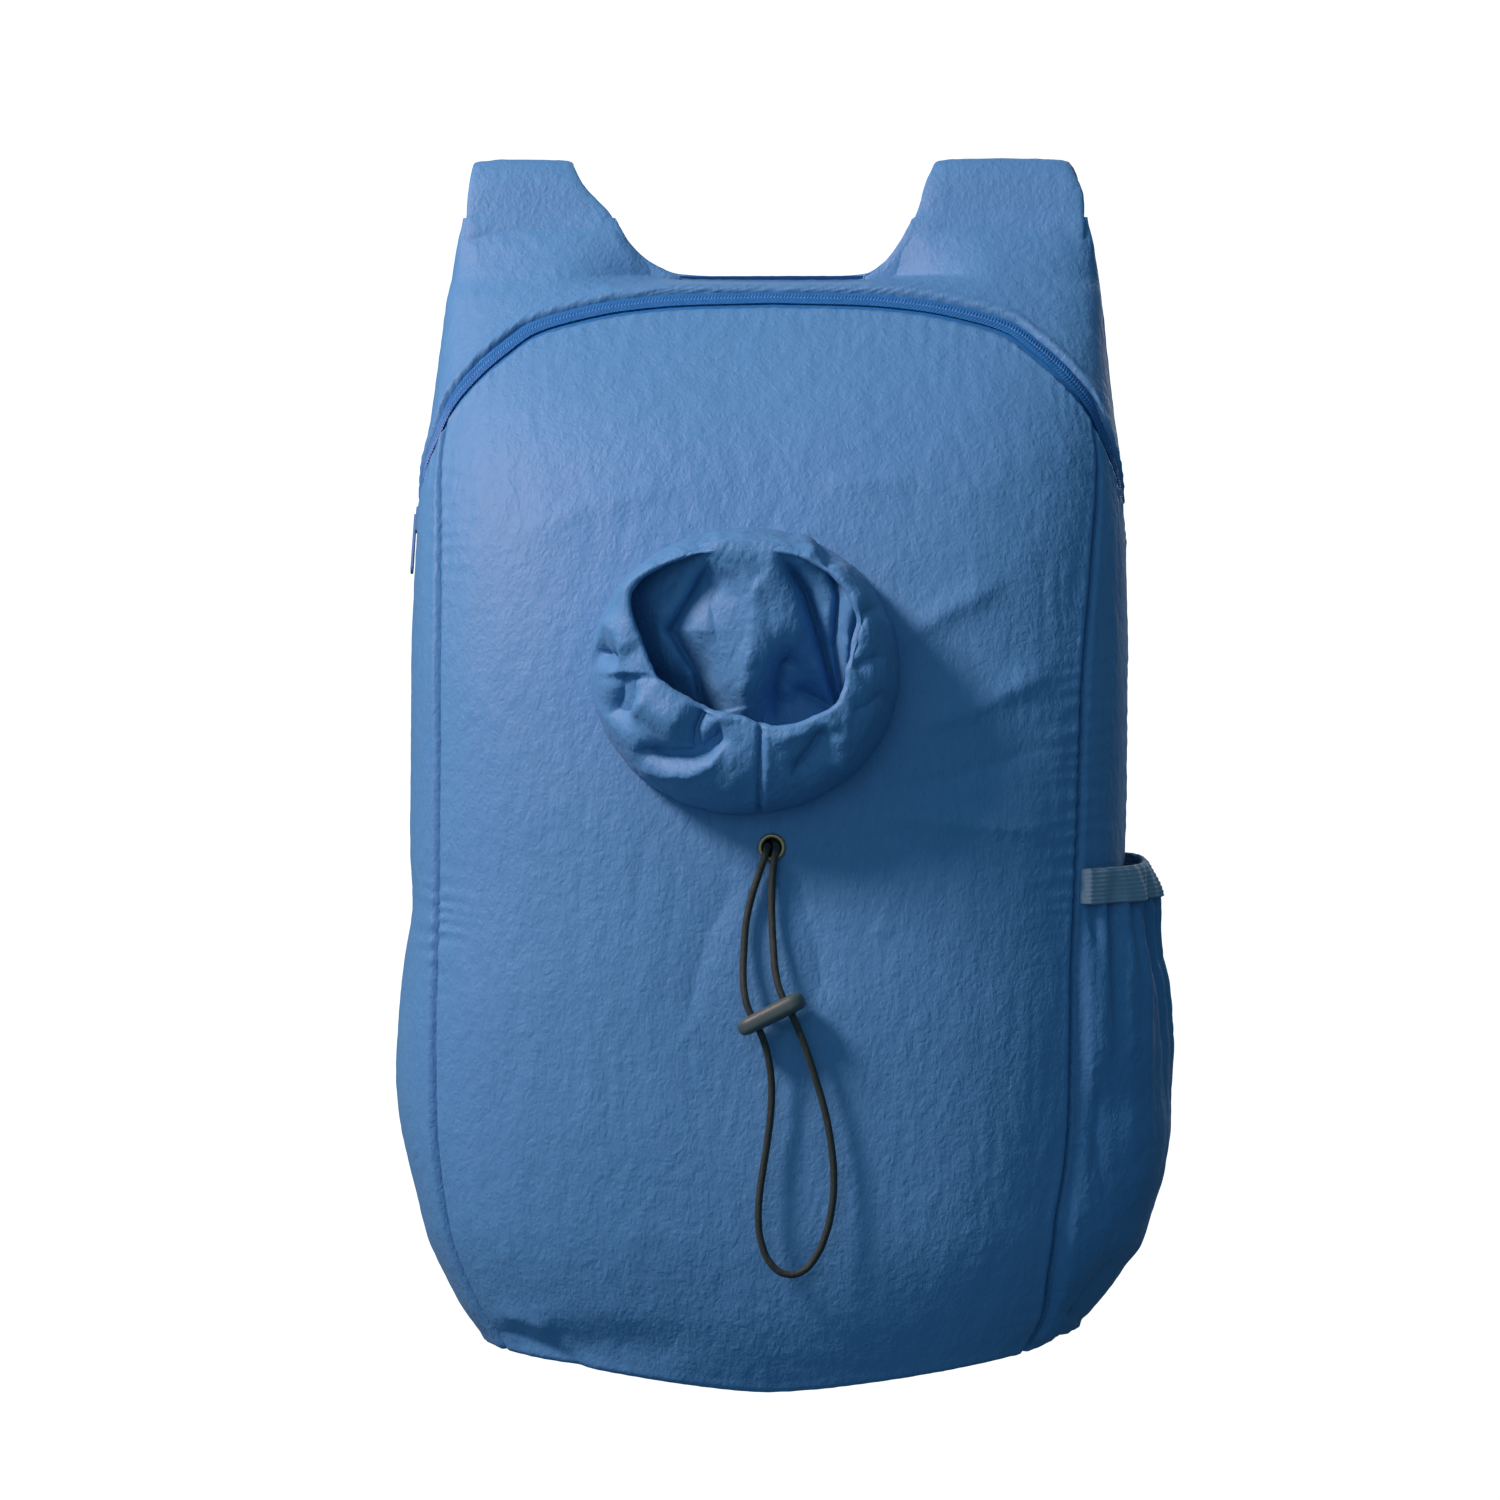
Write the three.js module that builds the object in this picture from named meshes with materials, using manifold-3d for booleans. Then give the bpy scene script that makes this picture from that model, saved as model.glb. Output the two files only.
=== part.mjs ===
// A packable backpack in thin crinkled nylon, stuffed full and held up by its shoulder straps.
// X runs to the right as one faces the front, Y runs back towards the wearer, Z is up. Millimetres.
// The bag is laid out from its lowest point; the last lines move it so that the origin is the
// middle of the line under the two shoulder folds, where a hanger or a pair of shoulders holds it.
import * as THREE from "three";
import { mergeVertices } from "three/addons/utils/BufferGeometryUtils.js";
import Module from "manifold-3d";

const wasm = await Module();
wasm.setup();

// The body
const BAG_HEIGHT = 437; // lowest point of the bottom to the neckline
const BAG_WIDTH = 281;
const FRONT_DEPTH = 80; // from the plane of the side's middle to the fullest point of the front
const BACK_DEPTH = 50; // from the same plane to the wearer's side
const CLOTH = 1.5; // one sewn panel
const SEAM_GAP = 0.9; // between two panels at a seam
const SEAT_GAP = 0.3; // between pieces that lie on each other
const FRONT_CORNER = 2.7; // superellipse exponent of the soft front half
const BACK_CORNER = 4; // and of the flatter back half

// The yoke and the shoulder straps
const SHOULDER_SEAM = 460; // height where the yoke ends and each strap begins
const STRAP_THICK = 5;
const FOLD_RADIUS = 14; // middle of the strap over the shoulder
const FOLD_RISE = 7; // from the shoulder seam to the start of the fold
const STRAP_END = 192; // height where the padded strap stops
const STRAP_BOW = 46; // how far the strap stands behind the fold at its widest
const WEB_WIDTH = 20;
const WEB_THICK = 1.2;
const LOCK_WIDTH = 30;
const LOCK_THICK = 4;
const LOCK_BAR = 3;
const LOCK_SLOT = 4.5;
const LOCK_WEB_ROOM = 1.2; // clear on each side of the webbing in a slot

// The zip
const ZIP_SHOWN = 3.2; // from the zip's middle line to the edge of each panel
const TAPE_WIDTH = 5.8; // from the middle line to a tape's hidden edge
const TAPE_THICK = 0.8;
const COIL_WIDTH = 4.6;
const COIL_THICK = 1.6;
const SLIDER_LENGTH = 10;

// The round collar, the pouch behind it, and the drawcord
const COLLAR_ACROSS = -6.5; // middle of the collar, to the right of the bag's middle
const COLLAR_UP = 281; // and above the bag's lowest point
const COLLAR_RADIUS_X = 59.5;
const COLLAR_RADIUS_Z = 55.5;
const COLLAR_WALL = 2.6; // two layers and the hem between them
const COLLAR_REACH = 38; // how far the rim stands out from the panel
const HEM = 4; // how much panel the collar's foot covers
const POUCH_DEPTH = 24;
const EYELET_ACROSS = 4;
const EYELET_DROP = 12.5; // from the collar's foot down to the eyelet's middle
const EYELET_UP = COLLAR_UP - COLLAR_RADIUS_Z - EYELET_DROP;
const EYELET_BORE = 3.7; // radius that the two strands share
const EYELET_WALL = 0.5;
const EYELET_FLANGE = 5.2;
const CORD_RADIUS = 1.4;
const CORD_LOCK = { length: 28, depth: 12, height: 7, edge: 1.4, clearance: 0.35 };

// The side pocket
const POCKET_TOP = 198; // middle of the elastic band at the front seam
const POCKET_BAND = 13;
const POCKET_BULGE = 13;
const POCKET_BAND_THICK = 1.8;

// Level sections of the body, from the lowest point up. Each number is a share of a named size:
// at of BAG_HEIGHT, width of half BAG_WIDTH, front of FRONT_DEPTH, and back and middle of BACK_DEPTH.
// fill is how much further forward the cloth stands under the straps, as a share of FRONT_DEPTH.
const SECTIONS = [
  { at: 0.0, width: 0.7, front: 0.62, back: 0.8, middle: 0, fill: 0 },
  { at: 0.046, width: 0.785, front: 0.745, back: 0.92, middle: 0, fill: 0 },
  { at: 0.082, width: 0.862, front: 0.82, back: 0.97, middle: 0, fill: 0 },
  { at: 0.153, width: 0.955, front: 0.92, back: 1, middle: 0, fill: 0 },
  { at: 0.252, width: 0.995, front: 0.98, back: 1, middle: 0, fill: 0 },
  { at: 0.366, width: 1.0, front: 1.0, back: 1, middle: 0, fill: 0 },
  { at: 0.48, width: 1.0, front: 0.985, back: 1, middle: 0, fill: 0 },
  { at: 0.618, width: 0.996, front: 0.92, back: 1, middle: 0, fill: 0 },
  { at: 0.741, width: 0.986, front: 0.77, back: 1, middle: 0.08, fill: 0 },
  { at: 0.824, width: 0.972, front: 0.59, back: 1, middle: 0.24, fill: 0 },
  { at: 0.87, width: 0.952, front: 0.43, back: 1, middle: 0.36, fill: 0 },
  { at: 0.915, width: 0.936, front: 0.21, back: 1, middle: 0.5, fill: 0 },
  { at: 0.961, width: 0.922, front: -0.06, back: 0.99, middle: 0.68, fill: 0.015 },
  { at: 0.979, width: 0.916, front: -0.2, back: 0.97, middle: 0.76, fill: 0.057 },
  { at: 1.0, width: 0.906, front: -0.54, back: 1.0, middle: 0.9, fill: 0.282 },
  { at: 1.036, width: 0.89, front: -0.54, back: 1.02, middle: 0.92, fill: 0.086 },
  { at: 1.0526, width: 0.882, front: -0.544, back: 1.03, middle: 0.927, fill: 0 },
  { at: 1.11, width: 0.86, front: -0.56, back: 1.06, middle: 0.95, fill: 0 },
];

// Where the front seam and the back seam run round the body: degrees from the middle of the front.
const SEAMS = [
  { at: 0.0, front: 62, back: 127 },
  { at: 0.09, front: 60, back: 127 },
  { at: 0.32, front: 57, back: 127 },
  { at: 0.54, front: 57, back: 121 },
  { at: 0.69, front: 58, back: 110 },
  { at: 0.765, front: 59.5, back: 104 },
  { at: 0.84, front: 62, back: 99 },
  { at: 0.92, front: 62, back: 97 },
  { at: 1.1, front: 62, back: 97 },
];

// The zip's line: turn is degrees round the body, height a share of BAG_HEIGHT.
const ZIP_RUN = [
  { turn: 0, height: 0.978 },
  { turn: 15, height: 0.976 },
  { turn: 25, height: 0.971 },
  { turn: 35, height: 0.96 },
  { turn: 41, height: 0.95 },
  { turn: 47, height: 0.931 },
  { turn: 54.5, height: 0.906 },
  { turn: 62, height: 0.88 },
  { turn: 69, height: 0.848 },
  { turn: 80, height: 0.81 },
  { turn: 90, height: 0.789 },
  { turn: 104, height: 0.772 },
];

// The neckline's rise to the shoulder seam: across is a share of the half-width there,
// rise a share of the way from the neckline to the shoulder seam.
const NECKLINE = [
  { across: 0, rise: 0 },
  { across: 0.2, rise: 0 },
  { across: 0.28, rise: 0.03 },
  { across: 0.362, rise: 0.26 },
  { across: 0.425, rise: 0.61 },
  { across: 0.47, rise: 1 },
];

// Broad bulges and dents of the stuffed cloth: turn and wide in degrees, up and tall as shares of
// BAG_HEIGHT, out as a share of FRONT_DEPTH.
const BULGES = [
  { turn: -90, up: 0.285, out: 0.07, wide: 34, tall: 0.1 }, // the left side's belly
  { turn: -84, up: 0.435, out: -0.03, wide: 14, tall: 0.03 }, // the dent over it
  { turn: 92, up: 0.36, out: -0.065, wide: 26, tall: 0.16 }, // pressed in behind the pocket
  { turn: 22, up: 0.1, out: 0.04, wide: 26, tall: 0.09 }, // the filling settled low on the right
  { turn: -30, up: 0.045, out: -0.03, wide: 14, tall: 0.02 }, // the tuck over the left bottom corner
];

// The collar's rim: turn is degrees anticlockwise from the right, seen from the front.
// reach is the rim's distance from the collar's middle and forward its distance from the panel,
// as shares of COLLAR_RADIUS_X and COLLAR_REACH.
const RIM = [
  { turn: 0, reach: 0.72, forward: 0.98 },
  { turn: 35, reach: 0.88, forward: 0.92 },
  { turn: 60, reach: 0.84, forward: 0.86 },
  { turn: 90, reach: 0.76, forward: 0.84 },
  { turn: 120, reach: 0.84, forward: 0.84 },
  { turn: 148, reach: 0.93, forward: 0.88 },
  { turn: 172, reach: 0.76, forward: 0.95 },
  { turn: 200, reach: 0.5, forward: 1.02 },
  { turn: 228, reach: 0.38, forward: 1.06 },
  { turn: 268, reach: 0.33, forward: 1.08 },
  { turn: 300, reach: 0.42, forward: 1.06 },
  { turn: 328, reach: 0.64, forward: 1.02 },
  { turn: 360, reach: 0.72, forward: 0.98 },
];

// The collar's gathers, lifts as shares of COLLAR_REACH: a ridge is positive, a valley negative.
// from and to say where it starts and ends on the way from the foot (0) to the rim (1).
const COLLAR_FOLDS = [
  { turn: 12, wide: 9, lift: -0.118, from: 0.35, to: 1.1 },
  { turn: 33, wide: 8, lift: 0.079, from: 0.45, to: 1.1 },
  { turn: 52, wide: 8, lift: -0.092, from: 0.5, to: 1.1 },
  { turn: 72, wide: 9, lift: 0.066, from: 0.5, to: 1.1 },
  { turn: 104, wide: 8, lift: -0.079, from: 0.55, to: 1.1 },
  { turn: 150, wide: 14, lift: 0.066, from: 0.4, to: 1.1 },
  { turn: 184, wide: 7, lift: -0.158, from: 0.15, to: 0.8 },
  { turn: 205, wide: 13, lift: 0.079, from: 0.3, to: 1 },
  { turn: 240, wide: 9, lift: -0.158, from: 0.3, to: 0.95 },
  { turn: 254, wide: 9, lift: 0.079, from: 0.3, to: 1 },
  { turn: 296, wide: 12, lift: -0.066, from: 0.55, to: 1.1 },
  { turn: 318, wide: 8, lift: -0.118, from: 0.25, to: 1 },
  { turn: 336, wide: 10, lift: 0.092, from: 0.2, to: 1 },
];

// The pouch's cloth behind the collar: places are shares of the collar's radii from its middle,
// out is how far the cloth stands forward of its hollow, in shares of POUCH_DEPTH.
const POUCH_FOLDS = [
  { x: 0.02, z: -0.16, out: 1.15, wide: 0.3, tall: 0.4 },
  { x: 0.2, z: 0.3, out: 0.5, wide: 0.16, tall: 0.34 },
  { x: 0.55, z: -0.1, out: 0.42, wide: 0.2, tall: 0.26 },
  { x: -0.62, z: 0.05, out: 0.2, wide: 0.2, tall: 0.3 },
];

// The pocket's gathers under the band: at is the share of the way from the front seam to the
// back seam, wide a share of the same, lift a share of POCKET_BULGE.
const POCKET_GATHERS = [
  { at: 0.1, wide: 0.035, lift: -0.123 },
  { at: 0.21, wide: 0.04, lift: 0.108 },
  { at: 0.33, wide: 0.045, lift: -0.138 },
  { at: 0.45, wide: 0.045, lift: 0.123 },
  { at: 0.57, wide: 0.045, lift: -0.138 },
  { at: 0.69, wide: 0.045, lift: 0.115 },
  { at: 0.81, wide: 0.045, lift: -0.123 },
  { at: 0.91, wide: 0.035, lift: 0.092 },
];

// Each strap from the shoulder seam to its end: centre and half-width are shares of the body's
// half-width at the shoulder seam, thick a share of STRAP_THICK.
const STRAP_RUN = [
  { along: 0, centre: 0.735, half: 0.262, thick: 1 },
  { along: 0.055, centre: 0.758, half: 0.218, thick: 1.04 },
  { along: 0.12, centre: 0.764, half: 0.2, thick: 1.1 },
  { along: 0.45, centre: 0.78, half: 0.2, thick: 1.2 },
  { along: 0.8, centre: 0.8, half: 0.168, thick: 1.1 },
  { along: 1, centre: 0.812, half: 0.093, thick: 0.72 },
];

// The drawcord's free loop, chosen by hand from eyelet to eyelet: x, y, z from the bag's lowest
// point. The lock holds it where it passes the two strands below.
const STRAND_DOWN = [-2, -88.4, 146];
const STRAND_UP = [10.4, -88.4, 152.2];
const CORD_ROUTE = [
  [2.3, -75.2, 213.2],
  [2.2, -79.6, 212.9],
  [1.5, -82.3, 209.6],
  [-0.9, -82.2, 202.5],
  [-3.6, -82.3, 194],
  [-5.7, -82.6, 184],
  [-6.4, -83.6, 174],
  [-6.7, -85.4, 164.5],
  [-6.2, -87.2, 157.6],
  [-4.7, -88.2, 151.4],
  STRAND_DOWN,
  [0.7, -88.2, 140.6],
  [2.9, -87, 133],
  [4.1, -85.4, 124],
  [4, -84.4, 113],
  [2.6, -83.6, 101],
  [0.9, -83.2, 90],
  [-0.5, -82.8, 80],
  [-1, -82.2, 70],
  [0.2, -81.6, 61],
  [3.8, -81, 53.2],
  [9.4, -80.6, 49.3],
  [15.6, -80.6, 50.2],
  [21, -81, 56],
  [25, -81.8, 65],
  [27.4, -82.6, 76],
  [28, -83.2, 87],
  [27, -83.9, 99],
  [24.6, -84.7, 112],
  [21.2, -85.8, 124],
  [17.4, -87.2, 136],
  [13.2, -88.2, 146.6],
  STRAND_UP,
  [7.7, -88.2, 157.7],
  [5.9, -86.8, 164.5],
  [4.9, -84.6, 174],
  [4.3, -83, 184],
  [4.1, -82.3, 194],
  [4.5, -82.2, 202.5],
  [5.2, -82.2, 208.8],
  [5.8, -79.6, 212.9],
  [5.7, -75.2, 213.2],
];

// How finely each curved surface is cut into facets
const FINE = {
  frontAcross: 18,
  frontUp: 17,
  side: 6,
  sideUp: 14,
  backAcross: 12,
  backUp: 14,
  bottom: 9,
  yokeUp: 6,
  zip: 34,
  mouth: 28,
  collarRound: 42,
  collarUp: 6,
  pouch: 10,
  pocketAcross: 18,
  pocketUp: 8,
  fold: 8,
  strap: 9,
  ring: 30,
  cord: 60,
  hiddenCord: 42,
};

const RADIANS = Math.PI / 180;
const vector = (x, y, z) => new THREE.Vector3(x, y, z);
const clamp = THREE.MathUtils.clamp;
const lerp = THREE.MathUtils.lerp;
const ease = (low, high, x) => THREE.MathUtils.smoothstep(x, low, high);
const bell = (x, wide) => Math.exp(-((x / wide) ** 2));

// A smooth curve through a table's rows that never overshoots them: the value of one column
// where the column named key has the value x.
function along(rows, key, x, column) {
  const last = rows.length - 1;
  let i = 0;
  while (i < last - 1 && x > rows[i + 1][key]) i++;
  const secant = (k) => (rows[k + 1][column] - rows[k][column]) / (rows[k + 1][key] - rows[k][key]);
  const slope = (k) => {
    if (k === 0) return secant(0);
    if (k === last) return secant(last - 1);
    const [before, after] = [secant(k - 1), secant(k)];
    if (before * after <= 0) return 0;
    return (2 * before * after) / (before + after);
  };
  const span = rows[i + 1][key] - rows[i][key];
  const t = clamp((x - rows[i][key]) / span, 0, 1);
  const [a, b] = [rows[i][column], rows[i + 1][column]];
  return (
    a * (1 + 2 * t) * (1 - t) ** 2 +
    b * t * t * (3 - 2 * t) +
    span * (slope(i) * t * (1 - t) ** 2 - slope(i + 1) * t * t * (1 - t))
  );
}

// The body's skin: the point at a turn in degrees round the body from the middle of the front,
// positive to the right, and at a height.
function section(height) {
  const at = height / BAG_HEIGHT;
  return {
    width: along(SECTIONS, "at", at, "width") * (BAG_WIDTH / 2),
    middle: along(SECTIONS, "at", at, "middle") * BACK_DEPTH,
    front: -along(SECTIONS, "at", at, "front") * FRONT_DEPTH,
    back: along(SECTIONS, "at", at, "back") * BACK_DEPTH,
    fill: along(SECTIONS, "at", at, "fill") * FRONT_DEPTH,
  };
}

// Where across the front the straps' fill stands: shares of the half-width.
const underStraps = (share) => ease(0.36, 0.6, share) * (1 - ease(0.86, 1, share));

function bareSkin(turn, height) {
  const s = section(height);
  const [across, forward] = [Math.sin(turn * RADIANS), Math.cos(turn * RADIANS)];
  const exponent = forward > 0 ? FRONT_CORNER : BACK_CORNER;
  const size = (Math.abs(across) ** exponent + Math.abs(forward) ** exponent) ** (-1 / exponent);
  const depth = forward > 0 ? s.middle - s.front : s.back - s.middle;
  const fill = forward > 0 ? s.fill * underStraps(Math.abs(size * across)) : 0;
  return vector(s.width * size * across, s.middle - depth * size * forward - fill, height);
}

function slopes(surface, u, v, step) {
  const du = surface(u + step, v).sub(surface(u - step, v)).divideScalar(2 * step);
  const dv = surface(u, v + step).sub(surface(u, v - step)).divideScalar(2 * step);
  return [du, dv];
}

function normalOf(surface, u, v, step) {
  const [du, dv] = slopes(surface, u, v, step);
  return du.cross(dv).normalize();
}

function bulge(turn, height) {
  let out = 0;
  for (const b of BULGES) {
    out += FRONT_DEPTH * b.out * bell(turn - b.turn, b.wide) * bell(height / BAG_HEIGHT - b.up, b.tall);
  }
  return out;
}

const PROBE = 0.05; // step of the finite differences, in degrees and millimetres

function skin(turn, height) {
  const point = bareSkin(turn, height);
  return point.addScaledVector(normalOf(bareSkin, turn, height, PROBE), bulge(turn, height));
}

// The turn at which the front of the body lies at x to the right of the middle.
function turnAt(x, height) {
  const share = clamp(Math.abs(x) / section(height).width, 0, 0.9999);
  const forward = (1 - share ** FRONT_CORNER) ** (1 / FRONT_CORNER);
  return (Math.sign(x) * Math.atan2(share, forward)) / RADIANS;
}

// A point over the front panel at x and height, lifted off its outer face.
function overFront(x, height, lift) {
  const turn = turnAt(x, height);
  return skin(turn, height).addScaledVector(normalOf(skin, turn, height, PROBE), lift);
}

// The zip's line, and the height to add to be a given distance from it across the cloth.
const zipHeight = (turn) => BAG_HEIGHT * along(ZIP_RUN, "turn", Math.abs(turn), "height");

function fromZip(turn, distance) {
  const height = zipHeight(turn);
  const line = (t) => skin(t, zipHeight(t));
  const run = line(turn + PROBE).sub(line(turn - PROBE)).normalize();
  const rise = slopes(skin, turn, height, PROBE)[1];
  const square = rise.addScaledVector(run, -rise.dot(run)).length();
  return height + distance / square;
}

const frontSeam = (height) => along(SEAMS, "at", height / BAG_HEIGHT, "front");
const backSeam = (height) => along(SEAMS, "at", height / BAG_HEIGHT, "back");

// Half a seam's gap as degrees of turn.
function halfSeam(turn, height) {
  return SEAM_GAP / 2 / slopes(skin, turn, height, PROBE)[0].length();
}

// The lower edge of the walls: it sags in the middle of the front and of the back.
const CORNER_RISE = 21;
const FRONT_SAG_LEFT = 4;
const BACK_SAG_LEFT = 9;
function bottomEdge(turn) {
  const back = (1 - Math.cos(turn * RADIANS)) / 2;
  const middle = lerp(FRONT_SAG_LEFT, BACK_SAG_LEFT, back);
  return lerp(middle, CORNER_RISE, Math.abs(Math.sin(turn * RADIANS)) ** 1.6);
}

// A four-sided patch of the skin between two seams and two heights. Each limit may lean on the
// other coordinate, so the place is settled by a few rounds of looking again.
function patch(left, right, low, high) {
  return (u, v) => {
    let height = lerp(low(0), high(0), v);
    let turn = 0;
    for (let round = 0; round < 8; round++) {
      turn = lerp(left(height), right(height), u);
      height = lerp(low(turn), high(turn), v);
    }
    return { turn, height };
  };
}

// A closed solid between two grids of points. round joins the last column to the first.
function solidBetween(outer, inner, round = false) {
  const columns = outer.length;
  const rows = outer[0].length;
  const positions = [];
  for (const grid of [outer, inner]) {
    for (const column of grid) for (const p of column) positions.push(p.x, p.y, p.z);
  }
  const index = [];
  const at = (layer, i, j) => layer * columns * rows + (i % columns) * rows + j;
  const quad = (a, b, c, d) => index.push(a, b, c, a, c, d);
  const spans = round ? columns : columns - 1;
  for (let i = 0; i < spans; i++) {
    for (let j = 0; j < rows - 1; j++) {
      quad(at(0, i, j), at(0, i + 1, j), at(0, i + 1, j + 1), at(0, i, j + 1));
      quad(at(1, i, j), at(1, i, j + 1), at(1, i + 1, j + 1), at(1, i + 1, j));
    }
    quad(at(0, i + 1, 0), at(0, i, 0), at(1, i, 0), at(1, i + 1, 0));
    quad(at(0, i, rows - 1), at(0, i + 1, rows - 1), at(1, i + 1, rows - 1), at(1, i, rows - 1));
  }
  if (!round) {
    const e = columns - 1;
    for (let j = 0; j < rows - 1; j++) {
      quad(at(0, 0, j), at(0, 0, j + 1), at(1, 0, j + 1), at(1, 0, j));
      quad(at(0, e, j + 1), at(0, e, j), at(1, e, j), at(1, e, j + 1));
    }
  }
  const geometry = new THREE.BufferGeometry();
  geometry.setAttribute("position", new THREE.Float32BufferAttribute(positions, 3));
  geometry.setIndex(index);
  return geometry;
}

const even = (count, from = 0, to = 1) =>
  Array.from({ length: count + 1 }, (_, i) => lerp(from, to, i / count));

// A sheet of cloth lying on the skin over a patch: lift raises its outer face off the skin.
function clothOn(place, us, vs, thick, lift = () => 0) {
  const outer = [];
  const inner = [];
  for (const u of us) {
    outer.push([]);
    inner.push([]);
    for (const v of vs) {
      const { turn, height } = place(u, v);
      const normal = normalOf(skin, turn, height, PROBE);
      const point = skin(turn, height).addScaledVector(normal, lift(u, v));
      outer.at(-1).push(point);
      inner.at(-1).push(point.clone().addScaledVector(normal, -thick(u, v, height)));
    }
  }
  return solidBetween(outer, inner);
}

// A solid through rings of points, closed by a fan at each end.
function loft(rings) {
  const size = rings[0].length;
  const positions = rings.flat().flatMap((p) => [p.x, p.y, p.z]);
  const index = [];
  for (let i = 0; i < rings.length - 1; i++) {
    for (let j = 0; j < size; j++) {
      const [a, b] = [i * size + j, i * size + ((j + 1) % size)];
      index.push(a, b, b + size, a, b + size, a + size);
    }
  }
  const last = (rings.length - 1) * size;
  for (let j = 1; j < size - 1; j++) {
    index.push(0, j + 1, j);
    index.push(last, last + j, last + j + 1);
  }
  const geometry = new THREE.BufferGeometry();
  geometry.setAttribute("position", new THREE.Float32BufferAttribute(positions, 3));
  geometry.setIndex(index);
  return geometry;
}

function toSolid(geometry) {
  const bare = geometry.clone();
  for (const name of ["normal", "uv"]) bare.deleteAttribute(name);
  const merged = mergeVertices(bare, 1e-3);
  const mesh = new wasm.Mesh({
    numProp: 3,
    vertProperties: new Float32Array(merged.attributes.position.array),
    triVerts: new Uint32Array(merged.index.array),
  });
  return new wasm.Manifold(mesh);
}

function fromSolid(solid) {
  const mesh = solid.getMesh();
  const geometry = new THREE.BufferGeometry();
  geometry.setAttribute("position", new THREE.BufferAttribute(mesh.vertProperties, 3));
  geometry.setIndex(new THREE.BufferAttribute(mesh.triVerts, 1));
  return geometry;
}

// A straight cutter along Y with an oval section.
function ovalCutter(x, y, z, radiusX, radiusZ, length, sides) {
  const cutter = new THREE.CylinderGeometry(1, 1, length, sides);
  cutter.scale(radiusX, 1, radiusZ);
  cutter.translate(x, y, z);
  return toSolid(cutter);
}

const CUTTER_LENGTH = 60;

function frontPanel() {
  const left = (h) => -frontSeam(h) + halfSeam(-frontSeam(h), h);
  const right = (h) => frontSeam(h) - halfSeam(frontSeam(h), h);
  const place = patch(left, right, bottomEdge, (t) => fromZip(t, -ZIP_SHOWN));
  const cloth = clothOn(place, even(FINE.frontAcross), even(FINE.frontUp), () => CLOTH);
  const y = overFront(COLLAR_ACROSS, COLLAR_UP, 0).y;
  const mouth = ovalCutter(
    COLLAR_ACROSS, y, COLLAR_UP,
    COLLAR_RADIUS_X - HEM, COLLAR_RADIUS_Z - HEM, CUTTER_LENGTH, FINE.mouth,
  );
  const barrel = EYELET_BORE + EYELET_WALL + SEAT_GAP;
  const hole = ovalCutter(EYELET_ACROSS, y, EYELET_UP, barrel, barrel, CUTTER_LENGTH, 16);
  return fromSolid(toSolid(cloth).subtract(mouth).subtract(hole));
}

function sidePanel(side) {
  const near = (h) => frontSeam(h) + halfSeam(frontSeam(h), h);
  const far = (h) => backSeam(h) - halfSeam(backSeam(h), h);
  const [left, right] = side > 0 ? [near, far] : [(h) => -far(h), (h) => -near(h)];
  const place = patch(left, right, bottomEdge, (t) => fromZip(t, -ZIP_SHOWN));
  return clothOn(place, even(FINE.side), even(FINE.sideUp), () => CLOTH);
}

// The wearer's side. It is laid out from its left seam, through the middle of the back.
function backPanel() {
  const left = (h) => backSeam(h) + halfSeam(backSeam(h), h);
  const right = (h) => 360 - left(h);
  const place = patch(left, right, (t) => bottomEdge(t), () => BAG_HEIGHT);
  return clothOn(place, even(FINE.backAcross), even(FINE.backUp), () => CLOTH);
}

const BASE_GAP = 1; // between the base's edge and the walls, whose facets differ
// The base, let into the walls' lower edge. A square grid is pressed into a disc and then
// stretched to the walls, so no facet collapses in the middle.
function bottomPanel() {
  const inset = CLOTH + BASE_GAP;
  const grid = even(FINE.bottom, -1, 1);
  const face = (lift) =>
    grid.map((u) =>
      grid.map((v) => {
        const x = u * Math.sqrt(1 - (v * v) / 2);
        const y = v * Math.sqrt(1 - (u * u) / 2);
        const reach = Math.hypot(x, y);
        const turn = Math.atan2(x, y) / RADIANS;
        const level = normalOf(skin, turn, bottomEdge(turn), PROBE).setZ(0).normalize();
        const edge = skin(turn, bottomEdge(turn)).addScaledVector(level, -inset);
        return vector(edge.x * reach, edge.y * reach, edge.z * reach ** 2.2 + lift);
      }),
    );
  return solidBetween(face(0), face(CLOTH));
}

// The yoke: from the zip to the neckline, and up into the front of both straps.
const NECK_CORNER = NECKLINE.at(-1).across;
function yokeTop(turn) {
  const s = Math.abs(Math.sin(turn * RADIANS));
  const c = Math.abs(Math.cos(turn * RADIANS));
  const across = s * (s ** FRONT_CORNER + c ** FRONT_CORNER) ** (-1 / FRONT_CORNER);
  const beside = Math.abs(turn) > 90 ? 1 : across;
  const rise = along(NECKLINE, "across", Math.min(beside, NECK_CORNER), "rise");
  return lerp(BAG_HEIGHT, SHOULDER_SEAM, rise);
}

const PADDING_STARTS = 6; // the straps' padding begins this far above the back panel
const PADDING_FULL = 14;
function yokeThick(height) {
  const padded = ease(BAG_HEIGHT + PADDING_STARTS, BAG_HEIGHT + PADDING_FULL, height);
  return lerp(CLOTH, STRAP_THICK, padded);
}

function yoke() {
  const edge = (h) => backSeam(h) - halfSeam(backSeam(h), h);
  const place = patch((h) => -edge(h), edge, (t) => fromZip(t, ZIP_SHOWN), yokeTop);
  return clothOn(place, even(FINE.zip), even(FINE.yokeUp), (u, v, height) => yokeThick(height));
}

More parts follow.
